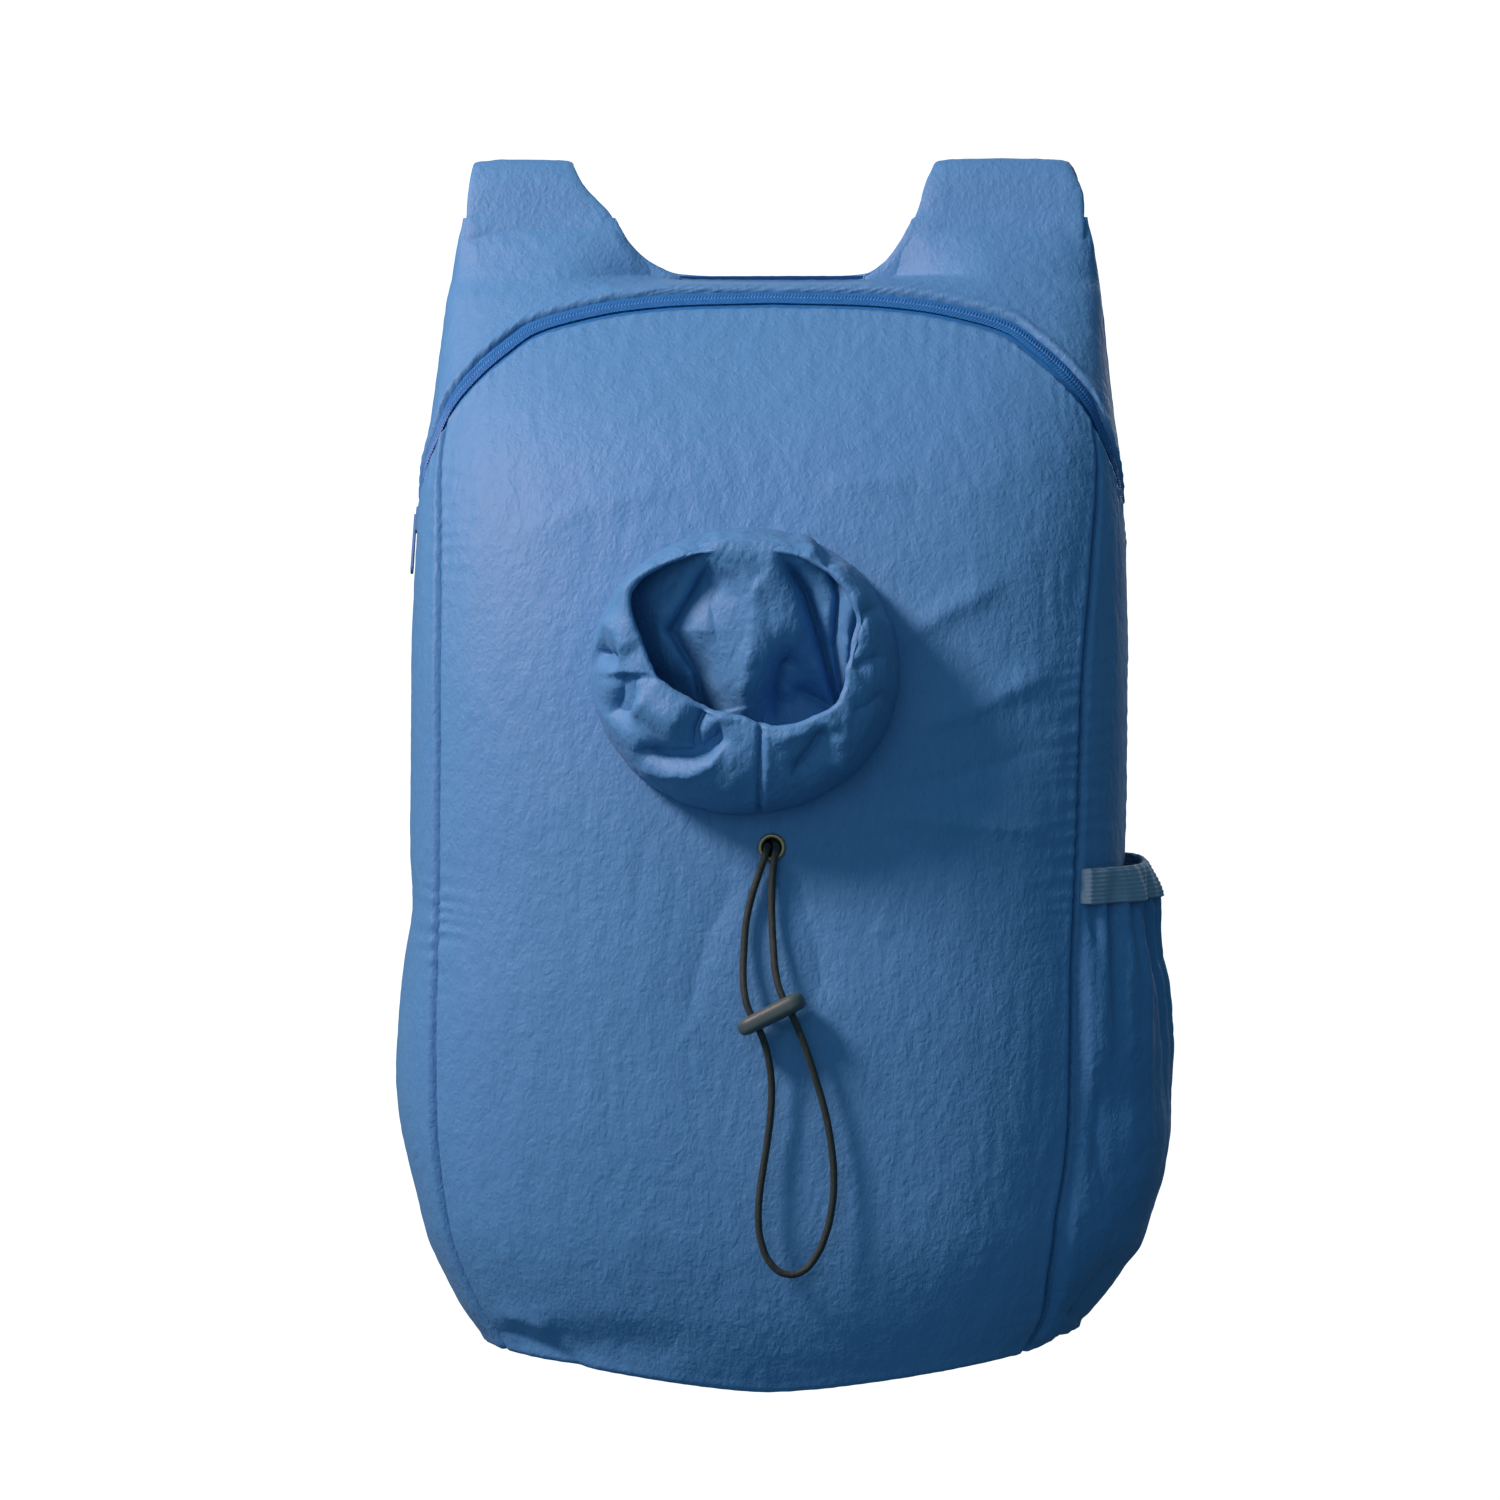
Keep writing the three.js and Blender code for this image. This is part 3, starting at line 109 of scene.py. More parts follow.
# %% Drawcord
CORD_RADIUS = 1.4
STRAND_DOWN = (-2, -88.4, 146)
STRAND_UP = (10.4, -88.4, 152.2)
CORD_ROUTE = [
    (2.3, -75.2, 213.2), (2.2, -79.6, 212.9), (1.5, -82.3, 209.6), (-0.9, -82.2, 202.5),
    (-3.6, -82.3, 194), (-5.7, -82.6, 184), (-6.4, -83.6, 174), (-6.7, -85.4, 164.5),
    (-6.2, -87.2, 157.6), (-4.7, -88.2, 151.4), STRAND_DOWN, (0.7, -88.2, 140.6),
    (2.9, -87, 133), (4.1, -85.4, 124), (4, -84.4, 113), (2.6, -83.6, 101),
    (0.9, -83.2, 90), (-0.5, -82.8, 80), (-1, -82.2, 70), (0.2, -81.6, 61),
    (3.8, -81, 53.2), (9.4, -80.6, 49.3), (15.6, -80.6, 50.2), (21, -81, 56),
    (25, -81.8, 65), (27.4, -82.6, 76), (28, -83.2, 87), (27, -83.9, 99),
    (24.6, -84.7, 112), (21.2, -85.8, 124), (17.4, -87.2, 136), (13.2, -88.2, 146.6),
    STRAND_UP, (7.7, -88.2, 157.7), (5.9, -86.8, 164.5), (4.9, -84.6, 174),
    (4.3, -83, 184), (4.1, -82.3, 194), (4.5, -82.2, 202.5), (5.2, -82.2, 208.8),
    (5.8, -79.6, 212.9), (5.7, -75.2, 213.2),
]


def cord_curve(name, points, radius):
    """A round cord through points in millimetres, as one open spline."""
    data = bpy.data.curves.new(name, "CURVE")
    data.dimensions = "3D"
    data.resolution_u = 6
    data.bevel_depth = radius / 1000
    data.bevel_resolution = 4
    data.use_fill_caps = True
    spline = data.splines.new("BEZIER")
    spline.bezier_points.add(len(points) - 1)
    for knot, place in zip(spline.bezier_points, to_frame(points)):
        knot.co = place
        knot.handle_left_type = "AUTO"
        knot.handle_right_type = "AUTO"
    cord = bpy.data.objects.new(name, data)
    bpy.context.scene.collection.objects.link(cord)
    return cord


def line_length(points):
    return float(np.linalg.norm(np.diff(np.asarray(points, float), axis=0), axis=1).sum())


drawcord = cord_curve("drawcord_loop", CORD_ROUTE, CORD_RADIUS)
print("drawcord", round(line_length(CORD_ROUTE)), "mm")

# %% [markdown]
# Cloth needs three small tools. A smooth curve reads a table of sections without overshooting
# its rows. A three-dimensional noise gives crinkles that run on across a seam, because it looks
# only at the place. And a grid of points becomes a mesh of quads, shaded smoothly.

# %% Tools for cloth
def smooth_curve(rows, key, column):
    """A curve through one column of a table, which never overshoots the rows."""
    xs = np.array([row[key] for row in rows], float)
    ys = np.array([row[column] for row in rows], float)
    spans = np.diff(xs)
    secants = np.diff(ys) / spans
    before, after = secants[:-1], secants[1:]
    product = before * after
    total = np.where(before + after == 0, 1, before + after)
    inner = np.where(product > 0, 2 * product / total, 0)
    slopes = np.concatenate([[secants[0]], inner, [secants[-1]]])

    def read(x):
        i = np.clip(np.searchsorted(xs, x, side="right") - 1, 0, len(spans) - 1)
        t = np.clip((x - xs[i]) / spans[i], 0, 1)
        level = ys[i] * (1 + 2 * t) * (1 - t) ** 2 + ys[i + 1] * t * t * (3 - 2 * t)
        return level + spans[i] * (slopes[i] * t * (1 - t) ** 2 - slopes[i + 1] * t * t * (1 - t))

    return read


def curves(rows):
    """A smooth curve over the first column for each of the others, in their order."""
    key, *others = rows[0]
    return [smooth_curve(rows, key, column) for column in others]


shuffle = np.random.default_rng(11)
LATTICE = shuffle.permutation(256)
LATTICE = np.concatenate([LATTICE, LATTICE, LATTICE])
LEANS = shuffle.normal(size=(256, 3))
LEANS /= np.linalg.norm(LEANS, axis=1, keepdims=True)


def noise(points, seed=0):
    """Smooth noise between about -1 and 1 at each of the points."""
    p = np.asarray(points, float) + seed * 17.31
    cell = np.floor(p).astype(int)
    part = p - cell
    ease = part ** 3 * (part * (part * 6 - 15) + 10)
    cell &= 255
    total = np.zeros(p.shape[:-1])
    for corner in range(8):
        step = np.array([corner & 1, corner >> 1 & 1, corner >> 2 & 1])
        x, y, z = (cell + step)[..., 0], (cell + step)[..., 1], (cell + step)[..., 2]
        lean = LEANS[LATTICE[LATTICE[LATTICE[x] + y] + z]]
        weight = np.prod(np.where(step, ease, 1 - ease), axis=-1)
        total += weight * ((part - step) * lean).sum(axis=-1)
    return total * 1.6


def table(columns, *rows):
    """Rows under the names of their columns. A row may leave out its last columns."""
    return [dict(zip(columns.split(), row)) for row in rows]


def crossed(us, vs):
    return np.meshgrid(us, vs, indexing="ij")


def disc(count):
    """A square grid squeezed into the unit disc, and each point's distance from the middle."""
    u, v = crossed(np.linspace(-1, 1, count), np.linspace(-1, 1, count))
    x, y = u * np.sqrt(1 - v * v / 2), v * np.sqrt(1 - u * u / 2)
    return x, y, np.hypot(x, y)


def smoothstep(low, high, x):
    t = np.clip((x - low) / (high - low), 0, 1)
    return t * t * (3 - 2 * t)


def bell(x, wide):
    return np.exp(-((x / wide) ** 2))


def unit(v):
    return v / np.maximum(np.linalg.norm(v, axis=-1, keepdims=True), 1e-9)


def normals(grid):
    """Outward normals of a grid whose columns run right and whose rows run up."""
    return unit(np.cross(np.gradient(grid, axis=0), np.gradient(grid, axis=1)))


def run_along(grid, axis):
    """How far each point lies along its row or column, in millimetres."""
    steps = np.linalg.norm(np.diff(grid, axis=axis), axis=-1)
    return np.insert(np.cumsum(steps, axis=axis), 0, 0, axis=axis)


def grid_faces(columns, rows, start=0, round_columns=False):
    spans = columns if round_columns else columns - 1
    i, j = crossed(np.arange(spans), np.arange(rows - 1))
    near = i * rows + j
    far = (i + 1) % columns * rows + j
    return (np.stack([near, far, far + 1, near + 1], axis=-1).reshape(-1, 4) + start).tolist()


def make_piece(name, points, faces):
    """A smooth-shaded mesh from points in millimetres."""
    mesh = bpy.data.meshes.new(name)
    mesh.from_pydata(to_frame(points).tolist(), [], faces)
    mesh.polygons.foreach_set("use_smooth", [True] * len(mesh.polygons))
    mesh.update()
    piece = bpy.data.objects.new(name, mesh)
    bpy.context.scene.collection.objects.link(piece)
    print(name, len(mesh.polygons), "faces")
    return piece


def stand_in(piece, node):
    """The piece takes the place of its plain solid, on the bag's one body."""
    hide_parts(node)
    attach(piece, "root")


def cloth_piece(name, grid, thick=None, round_columns=False):
    """A sheet of cloth from its outer face. With a thickness it gets an inner face and edges."""
    columns, rows = grid.shape[:2]
    outer = grid.reshape(-1, 3)
    faces = grid_faces(columns, rows, 0, round_columns)
    if thick is None:
        return make_piece(name, outer, faces)
    if round_columns:
        looped = np.concatenate([grid[-2:], grid, grid[:2]])
        facing = normals(looped)[2:-2]
    else:
        facing = normals(grid)
    inner = (grid - facing * thick).reshape(-1, 3)
    count = len(outer)
    faces += [[a + count, d + count, c + count, b + count] for a, b, c, d in faces]
    ring = []
    spans = columns if round_columns else columns - 1
    for i in range(spans):
        here, there = i * rows, (i + 1) % columns * rows
        ring.append([there, here, here + count, there + count])
        here, there = here + rows - 1, there + rows - 1
        ring.append([here, there, there + count, here + count])
    if not round_columns:
        last = (columns - 1) * rows
        for j in range(rows - 1):
            ring.append([j, j + 1, j + 1 + count, j + count])
            ring.append([last + j + 1, last + j, last + j + count, last + j + 1 + count])
    return make_piece(name, np.concatenate([outer, inner]), faces + ring)


# %% [markdown]
# The stuffed body is a tower of level sections: a soft superellipse in front, flatter and with
# tighter corners at the wearer's back. The tables hold shares of the named measures, so they
# follow a bag of another size. A few broad bulges show how the filling has settled.

# %% The body's skin
SECTIONS = table(
    "at width front strap back middle",
    (0.0, 0.7, 0.62, 0.62, 0.8, 0), (0.046, 0.785, 0.745, 0.745, 0.92, 0),
    (0.082, 0.862, 0.82, 0.82, 0.97, 0), (0.153, 0.955, 0.92, 0.92, 1, 0),
    (0.252, 0.995, 0.98, 0.98, 1, 0), (0.366, 1.0, 1.0, 1.0, 1, 0), (0.48, 1.0, 0.985, 0.985, 1, 0),
    (0.618, 0.996, 0.92, 0.92, 1, 0), (0.741, 0.986, 0.77, 0.77, 1, 0.08),
    (0.824, 0.972, 0.59, 0.59, 1, 0.24), (0.87, 0.952, 0.43, 0.43, 1, 0.36),
    (0.915, 0.936, 0.21, 0.21, 1, 0.5), (0.961, 0.922, -0.06, -0.045, 0.99, 0.68),
    (0.979, 0.916, -0.2, -0.143, 0.97, 0.76), (1.0, 0.906, -0.54, -0.258, 1.0, 0.9),
    (1.036, 0.89, -0.54, -0.454, 1.02, 0.92), (1.0526, 0.882, -0.544, -0.544, 1.03, 0.927),
    (1.11, 0.86, -0.56, -0.56, 1.06, 0.95),
)
SEAMS = table(
    "at front back",
    (0.0, 62, 127), (0.09, 60, 127), (0.32, 57, 127), (0.54, 57, 121), (0.69, 58, 110),
    (0.765, 59.5, 104), (0.84, 62, 99), (0.92, 62, 97), (1.1, 62, 97),
)
RIGHT_SEAM = table(
    "at front",
    (0.0, 60), (0.055, 58.5), (0.118, 52), (0.16, 50.5), (0.21, 51.2), (0.35, 51.4), (0.458, 52.5),
    (0.618, 54.2), (0.741, 58.4), (0.84, 62), (1.1, 62),
)
ZIP_RUN = table(
    "turn height",
    (0, 0.978), (15, 0.976), (25, 0.971), (35, 0.96), (41, 0.95), (47, 0.931), (54.5, 0.906), (62, 0.88),
    (69, 0.848), (80, 0.81), (90, 0.789), (104, 0.772),
)
NECKLINE = table(
    "across rise",
    (0, 0), (0.2, 0), (0.28, 0.03), (0.362, 0.26), (0.425, 0.61), (0.47, 1),
)
BULGES = table(
    "turn up out wide tall",
    (-90, 0.285, 0.07, 34, 0.1), (-84, 0.435, -0.03, 14, 0.03), (92, 0.36, -0.065, 26, 0.16),
    (22, 0.1, 0.04, 26, 0.09), (-30, 0.045, -0.03, 14, 0.02),
)
section_width, section_front, section_strap, section_back, section_middle = curves(SECTIONS)
front_seam_turn, back_seam_turn = curves(SEAMS)
right_seam_turn, = curves(RIGHT_SEAM)
zip_share, = curves(ZIP_RUN)
neck_rise, = curves(NECKLINE)


def half_width(height):
    return section_width(height / BAG_HEIGHT) * BAG_WIDTH / 2


STRAP_BEGINS = (0.25, 0.7)  # shares of the half-width, from the neck opening to the straps
NECK_BEGINS = (0.985, 1.0)  # shares of the height over which the neck opening sets in


def bare_skin(turn, height):
    at = height / BAG_HEIGHT
    middle = section_middle(at) * BACK_DEPTH
    across, forward = np.sin(np.radians(turn)), np.cos(np.radians(turn))
    corner = np.where(forward > 0, FRONT_CORNER, BACK_CORNER)
    size = (np.abs(across) ** corner + np.abs(forward) ** corner) ** (-1 / corner)
    share = np.abs(size * across)
    beside = smoothstep(*STRAP_BEGINS, share)
    under_straps = beside + (1 - beside) * (1 - smoothstep(*NECK_BEGINS, at))
    profile = section_front(at) * (1 - under_straps) + section_strap(at) * under_straps
    front = middle + profile * FRONT_DEPTH
    back = section_back(at) * BACK_DEPTH - middle
    y = middle - np.where(forward > 0, front, back) * size * forward
    return np.stack([half_width(height) * size * across, y, height + 0 * y], axis=-1)


def skin_normal(turn, height, step=0.05):
    around = bare_skin(turn + step, height) - bare_skin(turn - step, height)
    up = bare_skin(turn, height + step) - bare_skin(turn, height - step)
    return unit(np.cross(around, up))


def skin(turn, height):
    """The body's surface at degrees round it from the middle of the front, and at a height."""
    turn, height = np.broadcast_arrays(np.asarray(turn, float), np.asarray(height, float))
    out = np.zeros(turn.shape)
    for b in BULGES:
        swell = bell(turn - b["turn"], b["wide"]) * bell(height / BAG_HEIGHT - b["up"], b["tall"])
        out += b["out"] * FRONT_DEPTH * swell
    return bare_skin(turn, height) + skin_normal(turn, height) * out[..., None]


def turn_at(x, height):
    share = np.clip(np.abs(x) / half_width(height), 0, 0.9999)
    return np.sign(x) * np.degrees(np.arctan2(share, (1 - share ** FRONT_CORNER) ** (1 / FRONT_CORNER)))


def over_front(x, height, lift):
    """A point over the front at x and height, lifted off its face."""
    turn = turn_at(x, height)
    return skin(turn, height) + skin_normal(turn, height) * np.asarray(lift, float)[..., None]


def zip_height(turn):
    return BAG_HEIGHT * zip_share(np.abs(turn))


def from_zip(turn, distance):
    """The height that lies a distance above the zip's line, measured across the line."""
    height = zip_height(turn)
    step = 0.05
    line = skin(turn + step, zip_height(turn + step)) - skin(turn - step, zip_height(turn - step))
    line = unit(line)
    rise = (skin(turn, height + step) - skin(turn, height - step)) / (2 * step)
    square = rise - line * (rise * line).sum(axis=-1, keepdims=True)
    return height + distance / np.linalg.norm(square, axis=-1)


def bottom_edge(turn):
    """The walls' lower edge: lowest in front, a little higher behind, and highest at the sides."""
    back = (1 - np.cos(np.radians(turn))) / 2
    middle = EDGE_IN_FRONT + (EDGE_BEHIND - EDGE_IN_FRONT) * back
    return middle + (EDGE_AT_SIDES - middle) * np.abs(np.sin(np.radians(turn))) ** 1.6


def left_seam(height):
    return -front_seam_turn(height / BAG_HEIGHT)


def right_seam(height):
    """The filling has pulled this seam further on to the front."""
    return right_seam_turn(height / BAG_HEIGHT)


def back_seam(height):
    return back_seam_turn(height / BAG_HEIGHT)


def patch(left, right, low, high, columns, rows):
    """Turns and heights of a grid between two seams and two edges."""
    u, v = crossed(np.linspace(0, 1, columns), np.linspace(0, 1, rows))
    turn = np.zeros(u.shape)
    height = low(turn) * (1 - v) + high(turn) * v
    for _ in range(10):
        turn = left(height) * (1 - u) + right(height) * u
        height = low(turn) * (1 - v) + high(turn) * v
    return turn, height


# %% [markdown]
# Thin nylon that has been packed small keeps a web of fine creases. Creases are where a noise
# passes through zero, which gives sharp crossing lines, and the noise itself is bent by a
# slower one so that no line runs straight. The finest level is left to the material's bump.

# %% Crinkles and folds
def creases(points, size, seed, stretch=(1.0, 1.0, 1.0)):
    """Sharp irregular creases: 0 on the lines and up to about 1 between them."""
    p = points / (size * np.array(stretch))
    bend = np.stack([noise(p * 0.6, seed + k) for k in (1, 2, 3)], axis=-1)
    return np.abs(noise(p + bend * 0.55, seed)) * 1.5


LARGE_CREASE, LARGE_DEPTH = 12, 0.3
SMALL_CREASE, SMALL_DEPTH = 5.5, 0.2
WAVE, WAVE_HEIGHT = 55, 0.7
CRINKLE_MIDDLE = 0.25


def crinkle(points, seed=0):
    """The cloth's relief in millimetres, at the place of each point. Creases run up and down."""
    large = creases(points, LARGE_CREASE, seed, (1, 1, 3.4)) * LARGE_DEPTH
    small = creases(points, SMALL_CREASE, seed + 5, (1, 1, 1.6)) * SMALL_DEPTH
    soft = noise(points / WAVE, seed + 9) * WAVE_HEIGHT
    return large + small + soft - CRINKLE_MIDDLE


def puckers(along, inward, seed, spacing=7.0, reach=14.0, height=1.0):
    """Short ridges that leave a seam squarely and die out inward."""
    place = np.stack([along / spacing / 2.6, inward / 60, np.zeros_like(along)], axis=-1)
    phase = along / spacing + 0.9 * noise(place, seed)
    ridge = np.stack([np.round(phase) * 0.77, place[..., 2], place[..., 2]], axis=-1)
    length = reach * (0.75 + 0.75 * noise(ridge, seed + 3))
    wave = (0.5 + 0.5 * np.cos(2 * np.pi * phase)) ** 1.4
    return height * (wave - 0.35) * np.exp(-inward / np.maximum(length, 3.0))


FOLD_FADE = 0.25


def fold_field(x, z, folds):
    """Adds up folds drawn in the front view: each follows a line and fades at its ends."""
    total = np.zeros(np.shape(x))
    for fold in folds:
        line = np.array(fold["line"], float)
        lengths = np.linalg.norm(np.diff(line, axis=0), axis=1)
        starts = np.insert(np.cumsum(lengths), 0, 0)
        nearest = np.full(np.shape(x), 1e9)
        side = np.zeros(np.shape(x))
        along = np.zeros(np.shape(x))
        for (ax, az), (bx, bz), length, start in zip(line[:-1], line[1:], lengths, starts):
            dx, dz = (bx - ax) / length, (bz - az) / length
            t = np.clip((x - ax) * dx + (z - az) * dz, 0, length)
            away_x, away_z = x - ax - t * dx, z - az - t * dz
            distance = np.hypot(away_x, away_z)
            closer = distance < nearest
            nearest = np.where(closer, distance, nearest)
            side = np.where(closer, np.sign(away_x * dz - away_z * dx), side)
            along = np.where(closer, start + t, along)
        wide = np.where(side > 0, fold["wide"][0], fold["wide"][1])
        share = along / starts[-1]
        fade = smoothstep(-0.02, fold.get("rise", FOLD_FADE), share)
        fade = fade * smoothstep(1.02, 1 - fold.get("fall", FOLD_FADE), share)
        if fold["height"] < 0:
            shape = np.exp(-np.abs(nearest) / wide)
        else:
            shape = 1 / (1 + (nearest / wide) ** 2) ** 1.5
        total += fold["height"] * shape * fade
    return total


def turned_in(inward, depth=4.0, wide=1.2):
    """How far an edge dives where it turns into its seam."""
    return -depth * np.exp(-((np.maximum(inward, 0) / wide) ** 1.5))


# %% [markdown]
# The body is four walls and a base. Each wall keeps the seams of its pattern piece: its edges
# dive a little into the seam, and short puckers leave the seam because the thread is tighter
# than the cloth. The crinkles depend only on the place, so they run on from wall to wall.

# %% The walls and the base
ZIP_SHOWN = 3.8
CLOTH = 1.5
COLLAR_ACROSS = -6.5
COLLAR_UP = 281.0
COLLAR_RADIUS_X = 59.5
COLLAR_RADIUS_Z = 55.5
COLLAR_LAP = 5  # how far the front's edge reaches in behind the collar
EYELET_ACROSS = 4.0
EYELET_UP = 213.0
EYELET_HOLE = 4.2

PUCKERED = table(
    "x z wide strength",
    (-128, 182, 20, 0.9), (122, 245, 34, 0.8), (121, 205, 16, 0.7), (-125, 340, 26, 0.6),
    (104, 22, 14, 0.6),
)
FRONT_FOLDS = table(
    "line wide height rise",
    ([(48, 288), (66, 300), (94, 316)], (5, 8), 2.0), ([(56, 258), (82, 266), (114, 282)], (5, 7), 2.0),
    ([(46, 236), (74, 240), (110, 252)], (6, 9), -1.8), ([(40, 226), (72, 222), (114, 218)], (4, 7), 1.4),
    ([(12, 205), (20, 180), (26, 150)], (5, 9), -1.5),
    ([(-8, 204), (-22, 176), (-30, 140)], (8, 5), -1.3),
    ([(-112, 25), (-98, 24), (-82, 18), (-66, 8)], (3, 6), -2.4, 0.4),
    ([(-108, 31), (-96, 31), (-80, 25)], (4, 4), 1.4, 0.4),
    ([(-100, 330), (-70, 345), (-30, 352)], (8, 6), 1.2),
    ([(20, 352), (60, 356), (98, 344)], (8, 6), 1.2),
)


def seam_distances(grid):
    """Distances from a grid's left, right, lower and upper edges, and its two run lengths."""
    across, up = run_along(grid, 0), run_along(grid, 1)
    return across, across[-1:] - across, up, up[:, -1:] - up


SIDE_PUCKER = 0.1
LOW_PUCKER = 0.15


def below_zip(turn):
    return from_zip(turn, -ZIP_SHOWN)


def wall(left, right, low, high, columns, rows, seed, folds=(), top_pucker=0.4, extra=None):
    """A wall's grid between two seams and two edges, with all its relief."""
    turn, height = patch(left, right, low, high, columns, rows)
    base = skin(turn, height)
    facing = skin_normal(turn, height)
    to_left, to_right, to_low, to_high = seam_distances(base)
    relief = crinkle(base)
    tight = sum(
        g["strength"] * bell(np.hypot(base[..., 0] - g["x"], base[..., 2] - g["z"]), g["wide"])
        for g in PUCKERED
    )
    for inward, along, strength in (
        (to_left, to_low, SIDE_PUCKER + tight), (to_right, to_low, SIDE_PUCKER + tight),
        (to_low, to_left, LOW_PUCKER), (to_high, to_left, top_pucker),
    ):
        relief = relief * (1 - 0.6 * np.exp(-inward / 4))
        relief += strength * puckers(along, inward, seed)
        relief += turned_in(inward) + 0.35 * bell(inward - 3.2, 2.2)
    if folds:
        relief += fold_field(base[..., 0], base[..., 2], folds)
    if extra is not None:
        relief = relief + extra(turn, height, base)
    return base + facing * relief[..., None]


def punch(piece_grid, holes):
    """Drops the faces of a front grid whose middles lie in one of the oval holes."""
    columns, rows = piece_grid.shape[:2]
    faces = np.array(grid_faces(columns, rows))
    middles = piece_grid.reshape(-1, 3)[faces].mean(axis=1)
    keep = np.ones(len(faces), bool)
    for x, z, radius_x, radius_z in holes:
        keep &= np.hypot((middles[:, 0] - x) / radius_x, (middles[:, 2] - z) / radius_z) > 1
    return faces[keep].tolist()


def without_loose_points(points, faces):
    used = np.unique(np.asarray(faces))
    renumber = np.full(len(points), -1)
    renumber[used] = np.arange(len(used))
    return points[used], renumber[np.asarray(faces)].tolist()


front_grid = wall(left_seam, right_seam, bottom_edge, below_zip, 230, 330, 21, FRONT_FOLDS)
front_holes = [
    (COLLAR_ACROSS, COLLAR_UP, COLLAR_RADIUS_X - COLLAR_LAP, COLLAR_RADIUS_Z - COLLAR_LAP),
    (EYELET_ACROSS, EYELET_UP, EYELET_HOLE, EYELET_HOLE),
]
front_points, front_faces = without_loose_points(front_grid.reshape(-1, 3), punch(front_grid, front_holes))
front_cloth = make_piece("front_cloth", front_points, front_faces)
walls = {"front_panel": front_cloth}
for name, side, seed in (("left", -1, 31), ("right", 1, 41)):
    limits = (right_seam, back_seam) if side > 0 else (lambda h: -back_seam(h), left_seam)
    side_grid = wall(*limits, bottom_edge, below_zip, 110, 260, seed)
    walls["side_panel_" + name] = cloth_piece("side_cloth_" + name, side_grid)


BACK_TOP = BAG_HEIGHT - 1.4
BACK_TOP_ROLL = 3.4


def back_top_roll(turn, height, base):
    """The top edge leans forward to meet the yoke's edge at the neckline."""
    return -BACK_TOP_ROLL * np.exp(-(((BACK_TOP - height) / 2.6) ** 1.5))


back_grid = wall(
    back_seam, lambda h: 360 - back_seam(h), bottom_edge, lambda t: BACK_TOP + 0 * t,
    150, 230, 51, top_pucker=0.3, extra=back_top_roll,
)
walls["back_panel"] = cloth_piece("back_cloth", back_grid)

BASE_MIDDLE = 3.5  # height of the base's middle
LET_IN = 3.0  # how far its edge lies above the walls' lower edge
BASE_SHARE = 0.985
disc_x, disc_y, reach = disc(130)
turn = np.degrees(np.arctan2(disc_x, disc_y))
edge = skin(turn, bottom_edge(turn))
rise = BASE_MIDDLE + (edge[..., 2] - BASE_MIDDLE + LET_IN) * reach ** 1.3
base_grid = np.stack([edge[..., 0] * reach * BASE_SHARE, edge[..., 1] * reach * BASE_SHARE, rise], axis=-1)
inward = (1 - reach) * 90
base_grid[..., 2] -= crinkle(base_grid) * (1 - np.exp(-inward / 5)) - 1.2 * np.exp(-inward / 3)
walls["bottom_panel"] = cloth_piece("base_cloth", base_grid[:, ::-1])
for node, piece in walls.items():
    stand_in(piece, node)

# %% [markdown]
# The yoke is one piece of cloth from the zip up to the neckline, where it runs on into the front
# of both straps. Its free edge rolls back as a hem. Each strap is a padded tube of the same
# cloth, which starts inside the yoke, so the two read as one run of cloth from the front.

# %% The yoke
NECK_EDGE_ROLL = 1.7
NECK_LEAN = 4.3
NECK_FOOT = NECKLINE[1]["across"]
NECK_SIDE = NECKLINE[-1]["across"]


def neck_lean(share):
    """The neck opening leans to the left as it rises: what to add to a share of the half-width."""
    lean = np.sign(share) * NECK_LEAN / half_width(SHOULDER_SEAM)
    return lean * smoothstep(NECK_FOOT, NECK_SIDE, np.abs(share))


def yoke_top(turn):
    s, c = np.abs(np.sin(np.radians(turn))), np.abs(np.cos(np.radians(turn)))
    across = s * (s ** FRONT_CORNER + c ** FRONT_CORNER) ** (-1 / FRONT_CORNER)
    beside = np.where(np.abs(turn) > 90, 1, across) + neck_lean(np.sign(turn) * across)
    rise = neck_rise(np.minimum(beside, NECK_SIDE))
    return BAG_HEIGHT + (SHOULDER_SEAM - BAG_HEIGHT) * rise


def neck_gap(base):
    """Distance from the neckline's free edge; far away beside the straps."""
    line_x = np.linspace(-0.51, 0.44, 120)
    width = half_width(SHOULDER_SEAM)
    leaning = np.minimum(np.abs(line_x) + neck_lean(line_x), NECK_SIDE)
    line_z = BAG_HEIGHT + (SHOULDER_SEAM - BAG_HEIGHT) * neck_rise(leaning)
    line = np.stack([line_x * width, line_z], axis=-1)
    flat = base[..., [0, 2]].reshape(-1, 1, 2)
    near = np.full(flat.shape[0], 1e9)
    for part in np.array_split(np.arange(len(flat)), 8):
        near[part] = np.linalg.norm(flat[part] - line[None], axis=-1).min(axis=1)
    return near.reshape(base.shape[:-1])


turn, height = patch(
    lambda h: -back_seam(h), back_seam, lambda t: from_zip(t, ZIP_SHOWN), yoke_top, 380, 84,
)
yoke_base = skin(turn, height)
yoke_facing = skin_normal(turn, height)
to_left, to_right, to_low, to_high = seam_distances(yoke_base)
neck = neck_gap(yoke_base)
relief = crinkle(yoke_base) * (1 - 0.75 * np.exp(-to_low / 4))
relief *= 1 - 0.8 * np.exp(-neck / 3)
relief += 0.45 * puckers(to_left, to_low, 61) + turned_in(to_low) + 0.8 * bell(to_low - 4, 2.6)
relief += turned_in(np.minimum(to_left, to_right))
relief -= NECK_EDGE_ROLL * np.exp(-((neck / 2.2) ** 1.5))
yoke_grid = yoke_base + yoke_facing * relief[..., None]
yoke_cloth = cloth_piece("yoke_cloth", yoke_grid)
stand_in(yoke_cloth, "yoke")

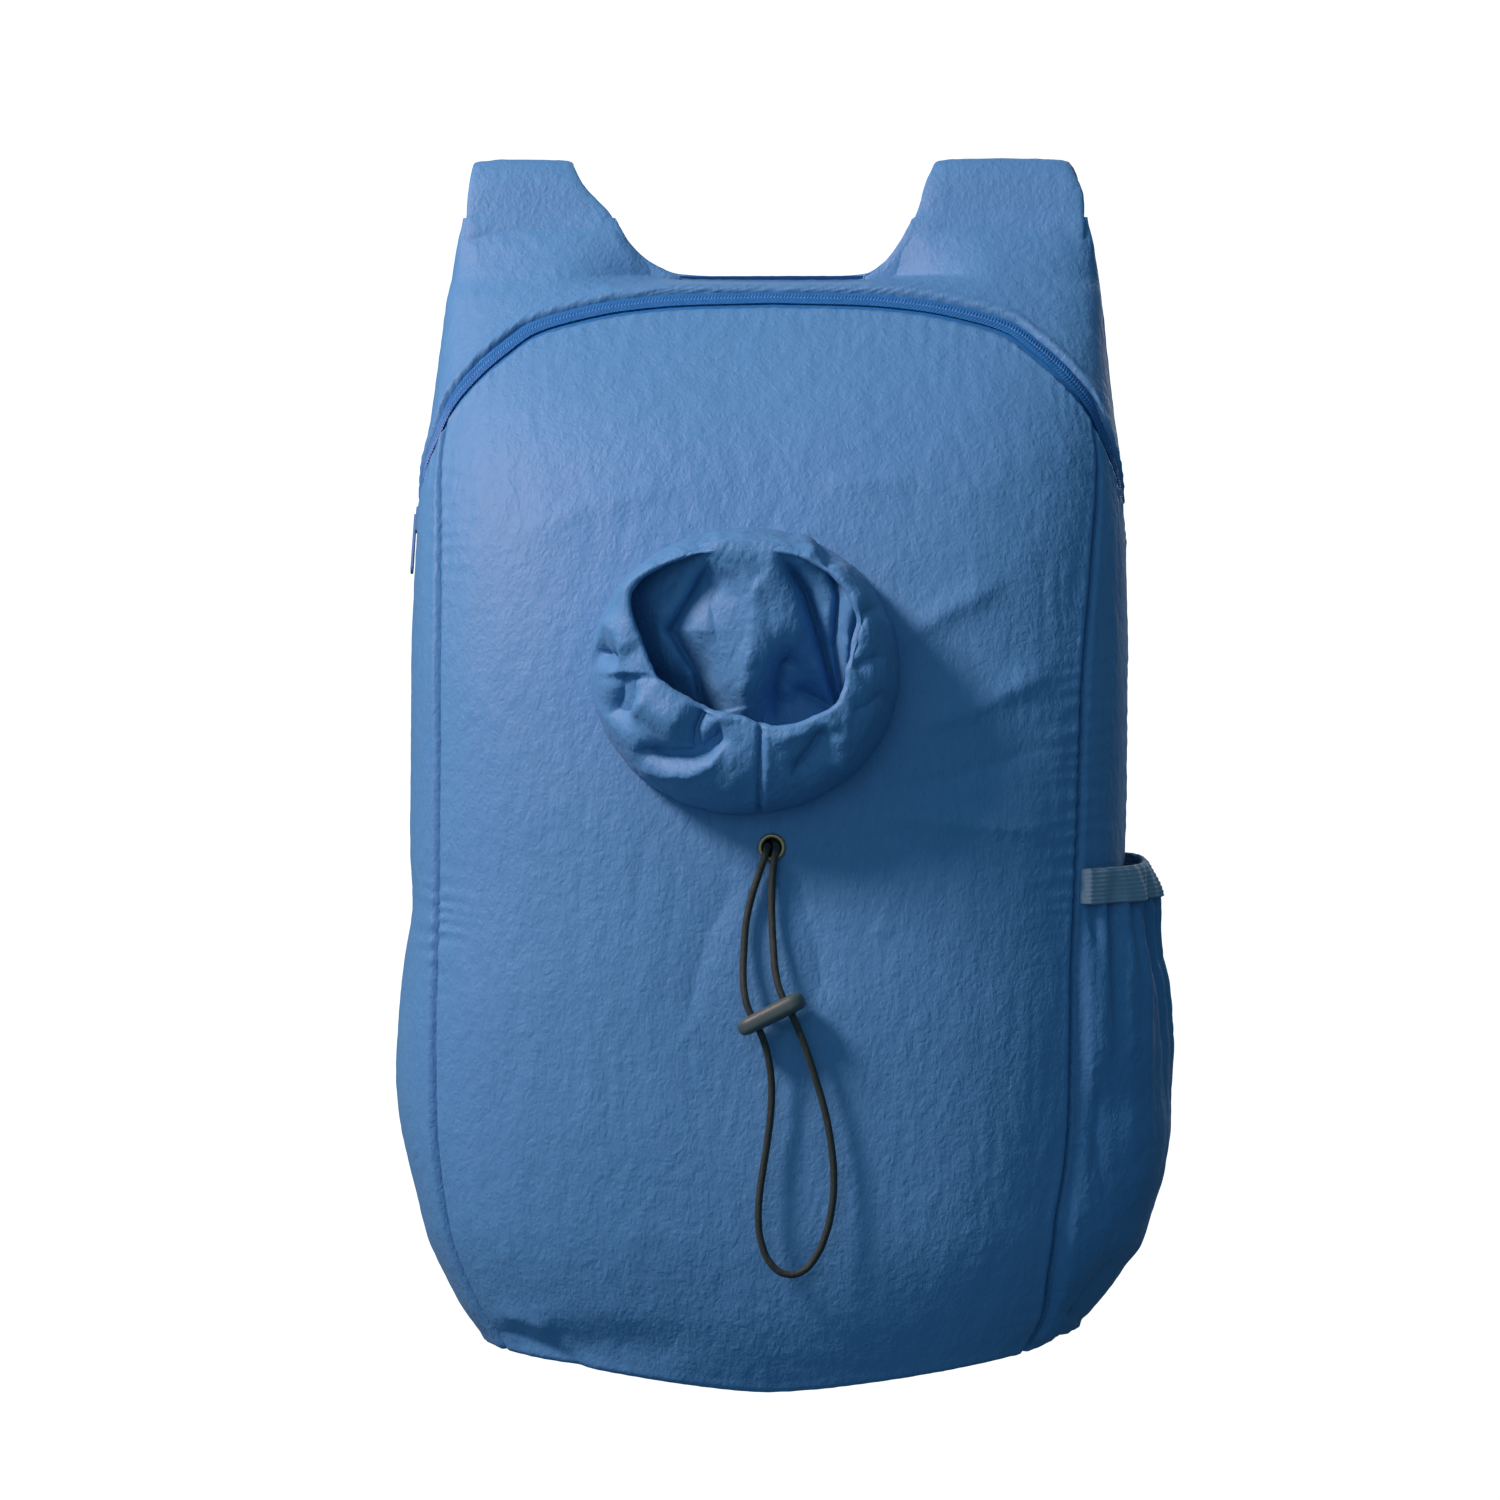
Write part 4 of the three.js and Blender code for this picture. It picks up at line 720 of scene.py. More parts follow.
# %% The shoulder straps
STRAP_THICK = 5.0
FOLD_RADIUS = 14.0
FOLD_RISE = 7.0
STRAP_END = 192.0
STRAP_BOW = 46.0
STRAP_RUN = table(
    "along centre half thick",
    (0, 0.735, 0.262, 1), (0.055, 0.758, 0.218, 1.04), (0.12, 0.764, 0.2, 1.1), (0.45, 0.78, 0.2, 1.2),
    (0.8, 0.8, 0.168, 1.1), (1, 0.812, 0.093, 0.72),
)


def bezier(points, count):
    a, b, c, d = [np.array(p, float) for p in points]
    t = np.linspace(0, 1, count)[:, None]
    return a * (1 - t) ** 3 + 3 * b * t * (1 - t) ** 2 + 3 * c * t * t * (1 - t) + d * t ** 3


strap_front = -section_front(SHOULDER_SEAM / BAG_HEIGHT) * FRONT_DEPTH + STRAP_THICK / 2
fold_y, fold_z = strap_front + FOLD_RADIUS, SHOULDER_SEAM + FOLD_RISE
handle = 0.5523 * FOLD_RADIUS
drop = fold_z - STRAP_END
STRAP_ROOT = 27.0
STRAP_FLARE = 23.3  # length of the strap's root that widens into the yoke
NECK_RISE_STARTS, NECK_RISE_SPAN = 0.28, 0.19  # shares of the half-width
OUTER_EDGE, OUTER_EDGE_ABOVE = 0.985, 0.982  # shares of the half-width
RIGHT_DIP = 4.0  # how far the right strap's outer edge is drawn in at its crest
strap_root = bezier([
    (strap_front - 6, SHOULDER_SEAM - STRAP_ROOT), (strap_front - 6, SHOULDER_SEAM - 15),
    (strap_front - 5, SHOULDER_SEAM - 7), (strap_front - 0.8, SHOULDER_SEAM - 1.8),
], 40)
strap_line = np.concatenate([
    strap_root,
    bezier([
        (strap_front - 0.8, SHOULDER_SEAM - 1.8), (strap_front + 3.6, SHOULDER_SEAM + 4.4),
        (fold_y - handle, fold_z + FOLD_RADIUS), (fold_y, fold_z + FOLD_RADIUS),
    ], 90)[1:],
    bezier([
        (fold_y, fold_z + FOLD_RADIUS), (fold_y + handle, fold_z + FOLD_RADIUS),
        (fold_y + FOLD_RADIUS, fold_z + handle), (fold_y + FOLD_RADIUS, fold_z),
    ], 60)[1:],
    bezier([
        (fold_y + FOLD_RADIUS, fold_z), (fold_y + FOLD_RADIUS + 4, fold_z - drop * 0.2),
        (fold_y + FOLD_RADIUS + STRAP_BOW, fold_z - drop * 0.66), (fold_y + FOLD_RADIUS + 12, STRAP_END),
    ], 200)[1:],
])
strap_runs = np.insert(np.cumsum(np.linalg.norm(np.diff(strap_line, axis=0), axis=1)), 0, 0)
strap_runs -= strap_runs[len(strap_root) - 1]
STRAP_LENGTH = strap_runs[-1]


def strap_middle(distance):
    """Places of the strap's middle and the direction of its run, at distances from the shoulder seam."""
    def place(at):
        return np.stack([np.interp(at, strap_runs, strap_line[:, k]) for k in (0, 1)], axis=-1)
    return place(distance), unit(place(distance + 0.6) - place(distance - 0.6))


strap_centre, strap_half, strap_thick = curves(STRAP_RUN)


def strap_grid(side, steps=290, around=92):
    distance = np.linspace(strap_runs[0], STRAP_LENGTH, steps)
    middle, run = strap_middle(distance)
    share = np.clip(distance / STRAP_LENGTH, 0, 1)
    width = half_width(SHOULDER_SEAM)
    centre, half = strap_centre(share) * width, strap_half(share) * width
    thick = strap_thick(share) * STRAP_THICK / 2
    below = np.clip(-distance / STRAP_FLARE, 0, 1)
    neck_shares = NECK_RISE_STARTS + np.linspace(0, 1, 60) * NECK_RISE_SPAN
    reach_in = np.interp(1 - below, neck_rise(neck_shares), neck_shares) * width
    lean = np.where(below > 0, neck_lean(reach_in / width) * width, NECK_LEAN)
    lean = -side * (lean + 1.05 * NECK_LEAN * smoothstep(0, 20, distance))
    lean = lean * (1 - smoothstep(40, 110, distance))
    crest = bell(distance - FOLD_RISE - 20, 10)
    inner = np.where(below > 0, reach_in + 1.2 * below, centre - half) + lean + 2.5 * crest
    outer = np.minimum(centre + half, width * OUTER_EDGE_ABOVE)
    outer = np.where(below > 0, width * OUTER_EDGE, outer)
    outer = outer - (RIGHT_DIP if side > 0 else 0.0) * crest
    centre, half = (inner + outer) / 2, (outer - inner) / 2
    angle = np.linspace(0, 2 * np.pi, around, endpoint=False)
    c, s = np.cos(angle), np.sin(angle)
    x = centre[:, None] + half[:, None] * np.sign(c) * np.abs(c) ** 0.45
    out = thick[:, None] * np.sign(s) * np.abs(s) ** 0.6
    tuck = np.where(s > 0, 1, 0) * np.clip(-distance, 0, 12)[:, None] * 0.1
    face = np.stack([run[:, 1], -run[:, 0]], axis=-1)
    y = middle[:, None, 0] - face[:, None, 0] * (out - tuck)
    z = middle[:, None, 1] - face[:, None, 1] * (out - tuck)
    return np.stack([side * x, y, z], axis=-1), distance, c


STITCH_SHARE = 0.86
strap_pieces = {}
for name, side in (("left", -1), ("right", 1)):
    grid, distance, edgeward = strap_grid(side)
    looped = np.concatenate([grid[:, -2:], grid, grid[:, :2]], axis=1)
    facing = normals(looped)[:, 2:-2]
    outward = np.sign((facing * (grid - grid.mean(axis=1, keepdims=True))).sum(axis=-1).mean())
    facing = facing * outward
    relief = crinkle(grid)
    stitch_line = np.abs(np.abs(edgeward) - STITCH_SHARE)
    behind = smoothstep(30, 50, distance)[:, None]
    relief = relief - 0.8 * np.exp(-((stitch_line / 0.05) ** 2))[None] * behind
    grid = grid + facing * relief[..., None]
    strip = grid.transpose(1, 0, 2)
    if side < 0:
        strip = strip[::-1]
    columns, rows = strip.shape[:2]
    closing = [[i * rows + rows - 1 for i in range(columns)]]
    faces = grid_faces(columns, rows, 0, True) + closing
    strap_pieces[name] = make_piece("strap_" + name, strip.reshape(-1, 3), faces)
    stand_in(strap_pieces[name], "shoulder_strap_" + name)

# %% [markdown]
# The zip is a reverse coil: from outside one sees two flat tapes meeting over the coil, with a
# fine rib for every tooth. It lies in the groove between the front and the yoke.

# %% The zip
COIL_PITCH = 1.3


def zip_strip(name, low, high, top, ribs, columns, rows, crown=0.0):
    end = float(back_seam(BAG_HEIGHT * ZIP_RUN[-1]["height"])) - 1.2
    turn = np.linspace(-end, end, columns)[:, None] * np.ones(rows)
    v = np.ones((columns, 1)) * np.linspace(0, 1, rows)
    height = from_zip(turn, low + (high - low) * v)
    base = skin(turn, height)
    run = run_along(base, 0)
    across = 2 * v - 1
    relief = -top - crown * across ** 2
    teeth = 0.5 + 0.5 * np.cos(2 * np.pi * (run / COIL_PITCH + 0.22 * np.abs(across)))
    relief = relief + ribs * teeth * smoothstep(0.02, 0.2, np.abs(across))
    relief = relief - 0.35 * np.exp(-((across / 0.07) ** 2)) * (ribs > 0)
    grid = base + skin_normal(turn, height) * relief[..., None]
    return cloth_piece(name, grid)


TAPE_DEPTH = 1.5
zip_coil = zip_strip("zip_teeth", -2.7, 2.7, TAPE_DEPTH - 1.1, 0.5, 1500, 15, 0.4)
zip_low = zip_strip("zip_tape_below", -5.8, -0.2, TAPE_DEPTH, 0.0, 300, 5)
zip_high = zip_strip("zip_tape_above", 0.2, 5.8, TAPE_DEPTH, 0.0, 300, 5)
for piece, node in ((zip_coil, "zip_coil"), (zip_low, "zip_tape_lower"), (zip_high, "zip_tape_upper")):
    stand_in(piece, node)

# %% [markdown]
# The round collar is a gathered tube of doubled cloth that stands out of the front. Its lower
# wall is the fullest and leans over the mouth. Each turn round it gets a profile: up the outer
# wall, over a soft rolled rim, and back down the inner wall to the panel.

# %% The collar
COLLAR_REACH = 38.0
COLLAR_ROLL = 2.4
COLLAR_FOOT = 6  # from the outer wall's foot to the inner wall's
RIM = table(
    "turn reach forward",
    (0, 0.71, 0.98), (12, 0.76, 0.96), (25, 0.86, 0.93), (40, 0.88, 0.9), (60, 0.84, 0.86),
    (90, 0.77, 0.84), (120, 0.84, 0.84), (144, 0.92, 0.88), (156, 0.8, 0.92), (168, 0.66, 0.98),
    (183, 0.58, 1.02), (205, 0.45, 1.05), (226, 0.36, 1.07), (268, 0.33, 1.08), (293, 0.42, 1.07),
    (311, 0.51, 1.05), (328, 0.6, 1.02), (345, 0.7, 1.0), (360, 0.71, 0.98),
)
rim_reach, rim_forward = curves(RIM)
COLLAR_FOLDS = table(
    "line wide height rise fall",
    ([(-57, 8), (-52, 5), (-47, 4)], (3.0, 3.4), -7.0, 0.2, 0.3),
    ([(-45.5, -1), (-45.5, -8), (-48, -14), (-53, -18)], (3.0, 5), -12.0, 0.15, 0.3),
    ([(-41, -2), (-40, -12), (-44, -20)], (4, 5), 3.0, 0.2, 0.3),
    ([(-42, -31), (-30, -34.5), (-20, -34), (-13, -32), (-8.5, -27), (-8.3, -19)], (2.0, 3.2), -12.0),
    ([(-14.4, -15.5), (-17.3, -22), (-18, -31)], (1.6, 2.0), -6.5, 0.02, 0.2),
    ([(-44, -36), (-30, -39.5), (-20, -40), (-12, -36), (-5, -26)], (3, 4), 2.2),
    ([(-42, -10), (-30, -17), (-20, -22)], (7, 8), 2.8), ([(-54, 20), (-48, 14), (-42, 6)], (6, 6), 2.2),
    ([(7.8, -17), (6.3, -56)], (0.7, 1.1), -2.6, 0.02, 0.02),
    ([(10.3, -24), (9, -55)], (2, 3), 0.9, 0.05, 0.1),
    ([(33, -20), (29, -30), (24, -37), (19, -42)], (3, 4), -8.0),
    ([(37, -23), (39, -31), (36, -40)], (4, 4), 2.8),
    ([(12, -28), (20, -25), (31, -23), (38, -24)], (3, 4), 1.8),
    ([(43, 0), (50, 4), (56, 5)], (2.5, 3), -3.0), ([(42, -17), (50, -14), (56, -8)], (3, 4), -2.6),
    ([(54, 26), (48, 22), (44, 14), (43, 4)], (2.5, 3), -3.5),
    ([(-10, 53), (-18, 46), (-22, 39)], (3, 4), -1.5), ([(30, 53), (33, 44), (34, 38)], (2, 3), -2.8),
    ([(20, 54), (26, 47), (28, 42)], (3, 3), 1.6),
)


def bow(start, pull, end, count):
    """Curves from each start point to its end point, each drawn towards a pull point."""
    way = np.linspace(0, 1, count)[None, :, None]
    return start[:, None] * (1 - way) ** 2 + 2 * pull[:, None] * way * (1 - way) + end[:, None] * way ** 2


def collar_profile(columns=460, rows=64, roll_rows=16, inner_rows=40):
    turn = np.linspace(0, 360, columns, endpoint=False)
    cos, sin = np.cos(np.radians(turn)), np.sin(np.radians(turn))
    foot = over_front(COLLAR_ACROSS + COLLAR_RADIUS_X * cos, COLLAR_UP + COLLAR_RADIUS_Z * sin, -0.6)
    middle = over_front(np.array(COLLAR_ACROSS), np.array(COLLAR_UP), 0.0)
    reach = rim_reach(turn) * COLLAR_RADIUS_X
    forward = rim_forward(turn) * COLLAR_REACH
    outward = np.stack([cos, np.zeros(columns), sin], axis=-1)
    rim = np.stack([COLLAR_ACROSS + reach * cos, middle[1] - forward, COLLAR_UP + reach * sin], axis=-1)
    shoulder = foot + outward * 0.5
    shoulder[:, 1] = foot[:, 1] * 0.08 + rim[:, 1] * 0.92
    outer = bow(foot, shoulder, rim, rows)
    ahead = unit(rim - shoulder)
    around = unit(np.roll(rim, -2, axis=0) - np.roll(rim, 2, axis=0))
    inward = unit(np.cross(ahead, around))
    inward *= np.sign(inward[..., 1:2] + 1e-6)
    theta = np.linspace(0, np.pi, roll_rows + 1)[None, 1:, None]
    plump = (COLLAR_ROLL * (1 - 0.8 * bell(turn - 88, 42)))[:, None, None]
    roll = rim[:, None] + (inward[:, None] * (1 - np.cos(theta)) + ahead[:, None] * np.sin(theta)) * plump
    inner_foot = over_front(
        COLLAR_ACROSS + (COLLAR_RADIUS_X - COLLAR_FOOT) * cos,
        COLLAR_UP + (COLLAR_RADIUS_Z - COLLAR_FOOT) * sin, -4.0,
    )
    inner_shoulder = shoulder - outward * 5 + np.array([0, 4.5, 0])
    inner = bow(roll[:, -1], inner_shoulder, inner_foot, inner_rows + 1)[:, 1:]
    return np.concatenate([outer, roll, inner], axis=1), rows, roll_rows


collar_grid, outer_rows, roll_rows = collar_profile()
looped = np.concatenate([collar_grid[-3:], collar_grid, collar_grid[:3]])
collar_facing = normals(looped)[3:-3]
local_x = collar_grid[..., 0] - COLLAR_ACROSS
local_z = collar_grid[..., 2] - COLLAR_UP
around_run = run_along(np.concatenate([collar_grid, collar_grid[:1]]), 0)[:-1, outer_rows - 1][:, None]
up_run = run_along(collar_grid, 1)
rim_run = up_run[:, outer_rows + roll_rows // 2][:, None]
from_rim = np.abs(up_run - rim_run)
on_outer = (np.arange(collar_grid.shape[1]) < outer_rows + roll_rows // 2)[None]
relief = crinkle(collar_grid, 3) * 1.5
relief += fold_field(local_x, local_z, COLLAR_FOLDS) * on_outer * smoothstep(1, 9, up_run)
relief += puckers(around_run + 0 * from_rim, from_rim, 71, 13.0, 12.0, 0.45)
relief += puckers(around_run * 1.15 + 0 * from_rim, up_run, 73, 9.0, 8.0, 0.6) * on_outer
relief *= smoothstep(0, 3, up_run)
collar_grid = collar_grid + collar_facing * relief[..., None]
collar_cloth = cloth_piece("collar_cloth", collar_grid, round_columns=True)
stand_in(collar_cloth, "collar")

# %% [markdown]
# The pouch is the cloth that closes the collar from behind. It isn't stretched: a broad tongue
# of it hangs forward from the top of the rim, and it falls into dark grooves on both sides.
# A few spot heights give the lie of the cloth, and drawn folds cut the sharp grooves into it.

# %% The pouch
POUCH_SPOTS = [
    (25, 43, 32), (12, 46, 33), (0, 46, 33), (-12, 46, 31.5), (0, 51, 31), (14, 50, 31), (-20, 49, 25),
    (-25, 38, 22), (-38, 30, 16), (-42, 16, 11), (-38, 2, 8), (-28, -6, 8), (-16, -15, 11),
    (8, 36, 31), (6, 24, 29.5), (4, 12, 28), (1, 0, 26.5), (-2, -10, 24.5), (-3, -20, 21),
    (-10, 37, 28.5), (-18, 23, 26.5), (-21, 14, 25.5), (-14, 4, 24), (-11, -8, 22), (-9, -18, 18),
    (12, 30, 30.5), (14, 16, 29), (9, 3, 26.5), (5, -8, 23.5), (4, -22, 17),
    (19, 26, 29), (22, 15, 26.5), (19, 2, 18), (14, -12, 12), (26, 1, 17), (30, -12, 9), (24, -24, 8),
    (30, 41, 29), (32, 26, 26), (33, 10, 23), (36, -6, 18),
    (43, 36, 31), (44, 24, 30), (40, 10, 27), (39, -4, 22), (39, -16, 15), (52, 20, 22), (54, -5, 18),
]
POUCH_FOLDS = table(
    "line wide height rise fall",
    ([(14, 46), (24, 30), (28, 17), (33, -2), (37, -18)], (1.8, 3), -12.0, 0.2, 0.02),
    ([(33, 47), (36.5, 28), (35, 10), (38, -16)], (1.6, 2.0), -8.0, 0.2, 0.05),
    ([(54, 26), (47, 21), (43.5, 13), (43.0, 2), (38.5, -18)], (1.6, 2), -10.0, 0.1, 0.05),
    ([(20, 9), (14.5, 2), (12, -8), (13, -20)], (1.8, 4), -8.0),
    ([(18, -6), (28, -11), (36, -16)], (3, 3), -5.5),
    ([(-12, 42), (-28, 15), (-18.5, -1), (-15, -18)], (1.4, 8), -8.5, 0.15, 0.02),
    ([(14, 42), (5, 30), (5, 12), (1, 0), (-1, -18)], (4, 5), 2.0),
    ([(-34, 30), (-31, 8), (-26, -6)], (4, 5), 2.5), ([(-6, 40), (-12, 26), (-9, 6)], (3, 5), -1.4),
)


def spread_spots(rows, x, z):
    """A smooth surface through spot heights: a thin plate bent just enough to touch them."""
    px, pz, level = np.array(rows, float).T

    def spring(dx, dz):
        square = dx * dx + dz * dz + 1e-9
        return square * np.log(square)

    count = len(rows)
    flat = np.stack([np.ones(count), px, pz], axis=-1)
    table = np.zeros((count + 3, count + 3))
    table[:count, :count] = spring(px[:, None] - px, pz[:, None] - pz)
    table[:count, count:] = flat
    table[count:, :count] = flat.T
    weights = np.linalg.solve(table, np.concatenate([level, np.zeros(3)]))
    total = weights[count] + weights[count + 1] * x + weights[count + 2] * z
    for k in range(count):
        total = total + weights[k] * spring(x - px[k], z - pz[k])
    return total


POUCH_INSET = 3
disc_x, disc_z, reach = disc(220)
pouch_x = disc_x * (COLLAR_RADIUS_X - POUCH_INSET)
pouch_z = disc_z * (COLLAR_RADIUS_Z - POUCH_INSET)
forward = spread_spots(POUCH_SPOTS, pouch_x, pouch_z)
forward += fold_field(pouch_x, pouch_z, POUCH_FOLDS)
pouch_plane = over_front(np.array(COLLAR_ACROSS), np.array(COLLAR_UP), 0.0)[1]
pouch_grid = np.stack([COLLAR_ACROSS + pouch_x, pouch_plane - forward, COLLAR_UP + pouch_z], axis=-1)
pouch_grid[..., 1] -= crinkle(pouch_grid, 6) * 1.6
pouch_foot = over_front(pouch_grid[..., 0], pouch_grid[..., 2], -3.5)[..., 1]
under_rim = smoothstep(0.95, 0.998, reach)
pouch_grid[..., 1] = pouch_grid[..., 1] * (1 - under_rim) + pouch_foot * under_rim
pouch_cloth = cloth_piece("pouch_cloth", pouch_grid)
stand_in(pouch_cloth, "pouch")

# %% [markdown]
# Small hardware. The eyelet is a rolled metal ring, turned round the hole's axis. The cord lock
# is a soft-edged bar that the two strands run into, set across the cord on the same slant.

# %% The eyelet and the cord lock
def turned_ring(name, profile, place, axis, count=96):
    """A closed profile of radius and rise, turned round an axis through a place."""
    axis = unit(np.array(axis, float))
    side = unit(np.cross(axis, (0, 0, 1)))
    up = np.cross(side, axis)
    angle = np.linspace(0, 2 * np.pi, count, endpoint=False)[:, None, None]
    radius, rise = np.array(profile, float).T
    ring = np.cos(angle) * side + np.sin(angle) * up
    points = place + ring * radius[None, :, None] + axis * rise[None, :, None]
    rows = len(profile)
    i, j = crossed(np.arange(count), np.arange(rows))
    near, far, above = i * rows, (i + 1) % count * rows, (j + 1) % rows
    faces = np.stack([near + j, far + j, far + above, near + above], axis=-1).reshape(-1, 4).tolist()
    return make_piece(name, points.reshape(-1, 3), faces)


eyelet_turn = turn_at(EYELET_ACROSS, EYELET_UP)
eyelet_place = skin(eyelet_turn, EYELET_UP)
eyelet_axis = skin_normal(eyelet_turn, np.array(EYELET_UP))
bend = np.linspace(0, np.pi, 9)
flange = [(4.45 - 0.95 * math.cos(a), 0.5 + 0.85 * math.sin(a)) for a in bend]
ring_profile = [(3.5, -2.0)] + flange + [(5.4, -0.4), (4.6, -0.5), (4.3, -2.2)]
eyelet_ring = turned_ring("eyelet_ring", ring_profile, eyelet_place, eyelet_axis)
stand_in(eyelet_ring, "eyelet")

LOCK_LENGTH, LOCK_DEPTH, LOCK_HEIGHT = 28.0, 12.0, 7.0
lock_down, lock_up = np.array(STRAND_DOWN, float), np.array(STRAND_UP, float)
lock_axis = unit(lock_up - lock_down)
lock_side = np.array([0.0, -1.0, 0.0])
lock_rise = np.cross(lock_side, lock_axis)
lock_rise *= np.sign(lock_rise[2])
lock_middle = (lock_down + lock_up) / 2


def soft_bar(name, length, depth, height, columns=72, rows=40):
    """A bar with half-round ends and a soft pillow edge, a little fuller at its upper end."""
    angle = np.linspace(0, 2 * np.pi, columns, endpoint=False)
    tilt = np.linspace(-np.pi / 2, np.pi / 2, rows)
    a, b = crossed(angle, tilt)
    flat = np.abs(np.cos(b)) ** 0.55
    end = length / 2 - depth / 2
    to_end = np.minimum(1, np.abs(np.cos(a)) * 6) * np.minimum(1, flat * 1.6)
    x = (depth / 2) * np.cos(a) * flat + np.sign(np.cos(a)) * end * to_end
    y = (depth / 2) * np.sin(a) * flat
    z = (height / 2) * np.sign(b) * np.abs(np.sin(b)) ** 0.7
    full = 1 + 0.12 * x / length
    points = lock_middle + x[..., None] * lock_axis
    points = points + (y * full)[..., None] * lock_side + (z * full)[..., None] * lock_rise
    return make_piece(name, points.reshape(-1, 3), grid_faces(columns, rows, 0, True))


lock_bar = soft_bar("cord_lock_bar", LOCK_LENGTH, LOCK_DEPTH, LOCK_HEIGHT)
stand_in(lock_bar, "cord_lock")

# %% [markdown]
# The right side carries one pocket. Its cloth is wider than the side, so it bellies out and is
# gathered into the short elastic band at the top.

# %% The side pocket
POCKET_TOP = 198.0
POCKET_BAND = 13.0
POCKET_BULGE = 18.0
POCKET_FOOT = 6  # above the wall's lower edge
GATHERS_IN_BAND = 13
pocket_span = POCKET_TOP + POCKET_BAND / 2 - 21 - POCKET_FOOT
BAND_SHARE = 1 - POCKET_BAND / pocket_span
POCKET_GATHERS = table(
    "at wide lift",
    (0.1, 0.035, -0.123), (0.21, 0.04, 0.108), (0.33, 0.045, -0.138), (0.45, 0.045, 0.123),
    (0.57, 0.045, -0.138), (0.69, 0.045, 0.115), (0.81, 0.045, -0.123), (0.91, 0.035, 0.092),
)
POCKET_FOLDS = table(
    "line wide height rise fall",
    ([(123, 197), (121.5, 178), (121, 160)], (1.6, 2.2), -2.6, 0.02, 0.7),
    ([(127.5, 197), (126, 180), (126, 168)], (1.4, 1.8), -2.6, 0.02, 0.7),
    ([(131.5, 197), (131, 176), (132, 160)], (1.4, 2), -3.2, 0.02, 0.7),
    ([(135, 197), (135.5, 172), (138, 150)], (1.3, 1.8), -3.2, 0.02, 0.7),
    ([(138, 197), (139, 178), (140.5, 156)], (1.0, 1.4), -3.4, 0.02, 0.6),
    ([(127, 138), (125, 104), (126, 66)], (5, 7), -3.2, 0.4, 0.4),
    ([(131, 62), (122, 46), (114, 30)], (2, 4), -4.5, 0.3, 0.1),
    ([(134, 120), (133, 90), (131, 70)], (4, 5), 2.4, 0.4, 0.4),
)


def pocket_place(u, v):
    turn = right_seam(POCKET_TOP) * (1 - u) + back_seam(POCKET_TOP) * u
    foot = bottom_edge(turn) + POCKET_FOOT
    rim = POCKET_TOP + POCKET_BAND / 2 + 6 * u
    height = foot * (1 - v) + rim * v
    turn = (right_seam(height) + 0.8) * (1 - u) + (back_seam(height) - 1.6) * u
    return turn, height


def pocket_lift(u, v):
    across = np.clip(np.sin(np.pi * u), 0, 1) ** 0.8
    belly = np.clip(np.sin(np.pi * np.clip(v, 0, 1) ** 1.2), 0, 1) ** 0.55
    gathers = sum(POCKET_BULGE * g["lift"] * bell(u - g["at"], g["wide"]) for g in POCKET_GATHERS)
    loose = smoothstep(0.35, 0.9, v) * (1 - smoothstep(0.93, 1.0, v))
    return CLOTH + 0.3 + POCKET_BULGE * across * belly + 5.5 * across * v ** 6 + gathers * loose


u, v = crossed(np.linspace(0, 1, 150), np.linspace(0, 1, 180) * BAND_SHARE)
turn, height = pocket_place(u, v)
pocket_base = skin(turn, height)
pocket_facing = skin_normal(turn, height)
to_left, to_right, to_low, to_high = seam_distances(pocket_base)
wander = 0.012 * noise(np.stack([u * 3, v * 4, 0 * u], axis=-1), 81)
gather_wave = np.cos(2 * np.pi * GATHERS_IN_BAND * (u + wander))
gather_fade = np.exp(-to_high / 34)
lift = pocket_lift(u, v) + crinkle(pocket_base, 8) * 1.5 + 1.7 * gather_wave * gather_fade
lift += 0.9 * puckers(to_left, to_low, 83)
lift += fold_field(pocket_base[..., 0], pocket_base[..., 2], POCKET_FOLDS)
at_side = np.minimum(to_left, to_right)
lift = lift * smoothstep(-1, 5, at_side) * smoothstep(-1, 4, to_low)
pocket_cloth = cloth_piece("pocket_cloth", pocket_base + pocket_facing * lift[..., None])
stand_in(pocket_cloth, "side_pocket")

u, v = crossed(np.linspace(0, 1, 420), BAND_SHARE + np.linspace(0, 1, 36) * (1 - BAND_SHARE))
turn, height = pocket_place(u, v)
band_base = skin(turn, height)
across_band = (v - BAND_SHARE) / (1 - BAND_SHARE)
lift = pocket_lift(u, v) + 0.6 + 0.16 * np.cos(2 * np.pi * across_band * 8)
wander = 0.01 * noise(np.stack([u * 3, 0 * u, 0 * u], axis=-1), 81)
lift += 0.35 * np.cos(2 * np.pi * GATHERS_IN_BAND * (u + wander))
to_left, to_right = seam_distances(band_base)[:2]
lift *= smoothstep(-0.5, 3, np.minimum(to_left, to_right))
band_grid = band_base + skin_normal(turn, height) * lift[..., None]
band_cloth = cloth_piece("band_cloth", band_grid, thick=1.6)
stand_in(band_cloth, "pocket_band")

# %% [markdown]
# Each strap ends in a webbing loop that holds a ladder-lock adjuster. The lower webbing comes
# from the bag's lower back corner, goes over the adjuster's bars and ends in a loose tail.

# %% Webbing
WEB_WIDTH = 20.0
WEB_THICK = 1.2
ADJUSTER_BAR, ADJUSTER_SLOT, ADJUSTER_THICK = 3.0, 4.5, 4.0
ADJUSTER_LENGTH = 3 * ADJUSTER_SLOT + 4 * ADJUSTER_BAR
ADJUSTER_DROP = 2.0
WEB_OFF = ADJUSTER_THICK / 2 + 0.5 + WEB_THICK / 2
ANCHOR_TURN = 141.0
ANCHOR_LOW, ANCHOR_HIGH = 36, 50  # the ends of the stretch that is sewn to the back


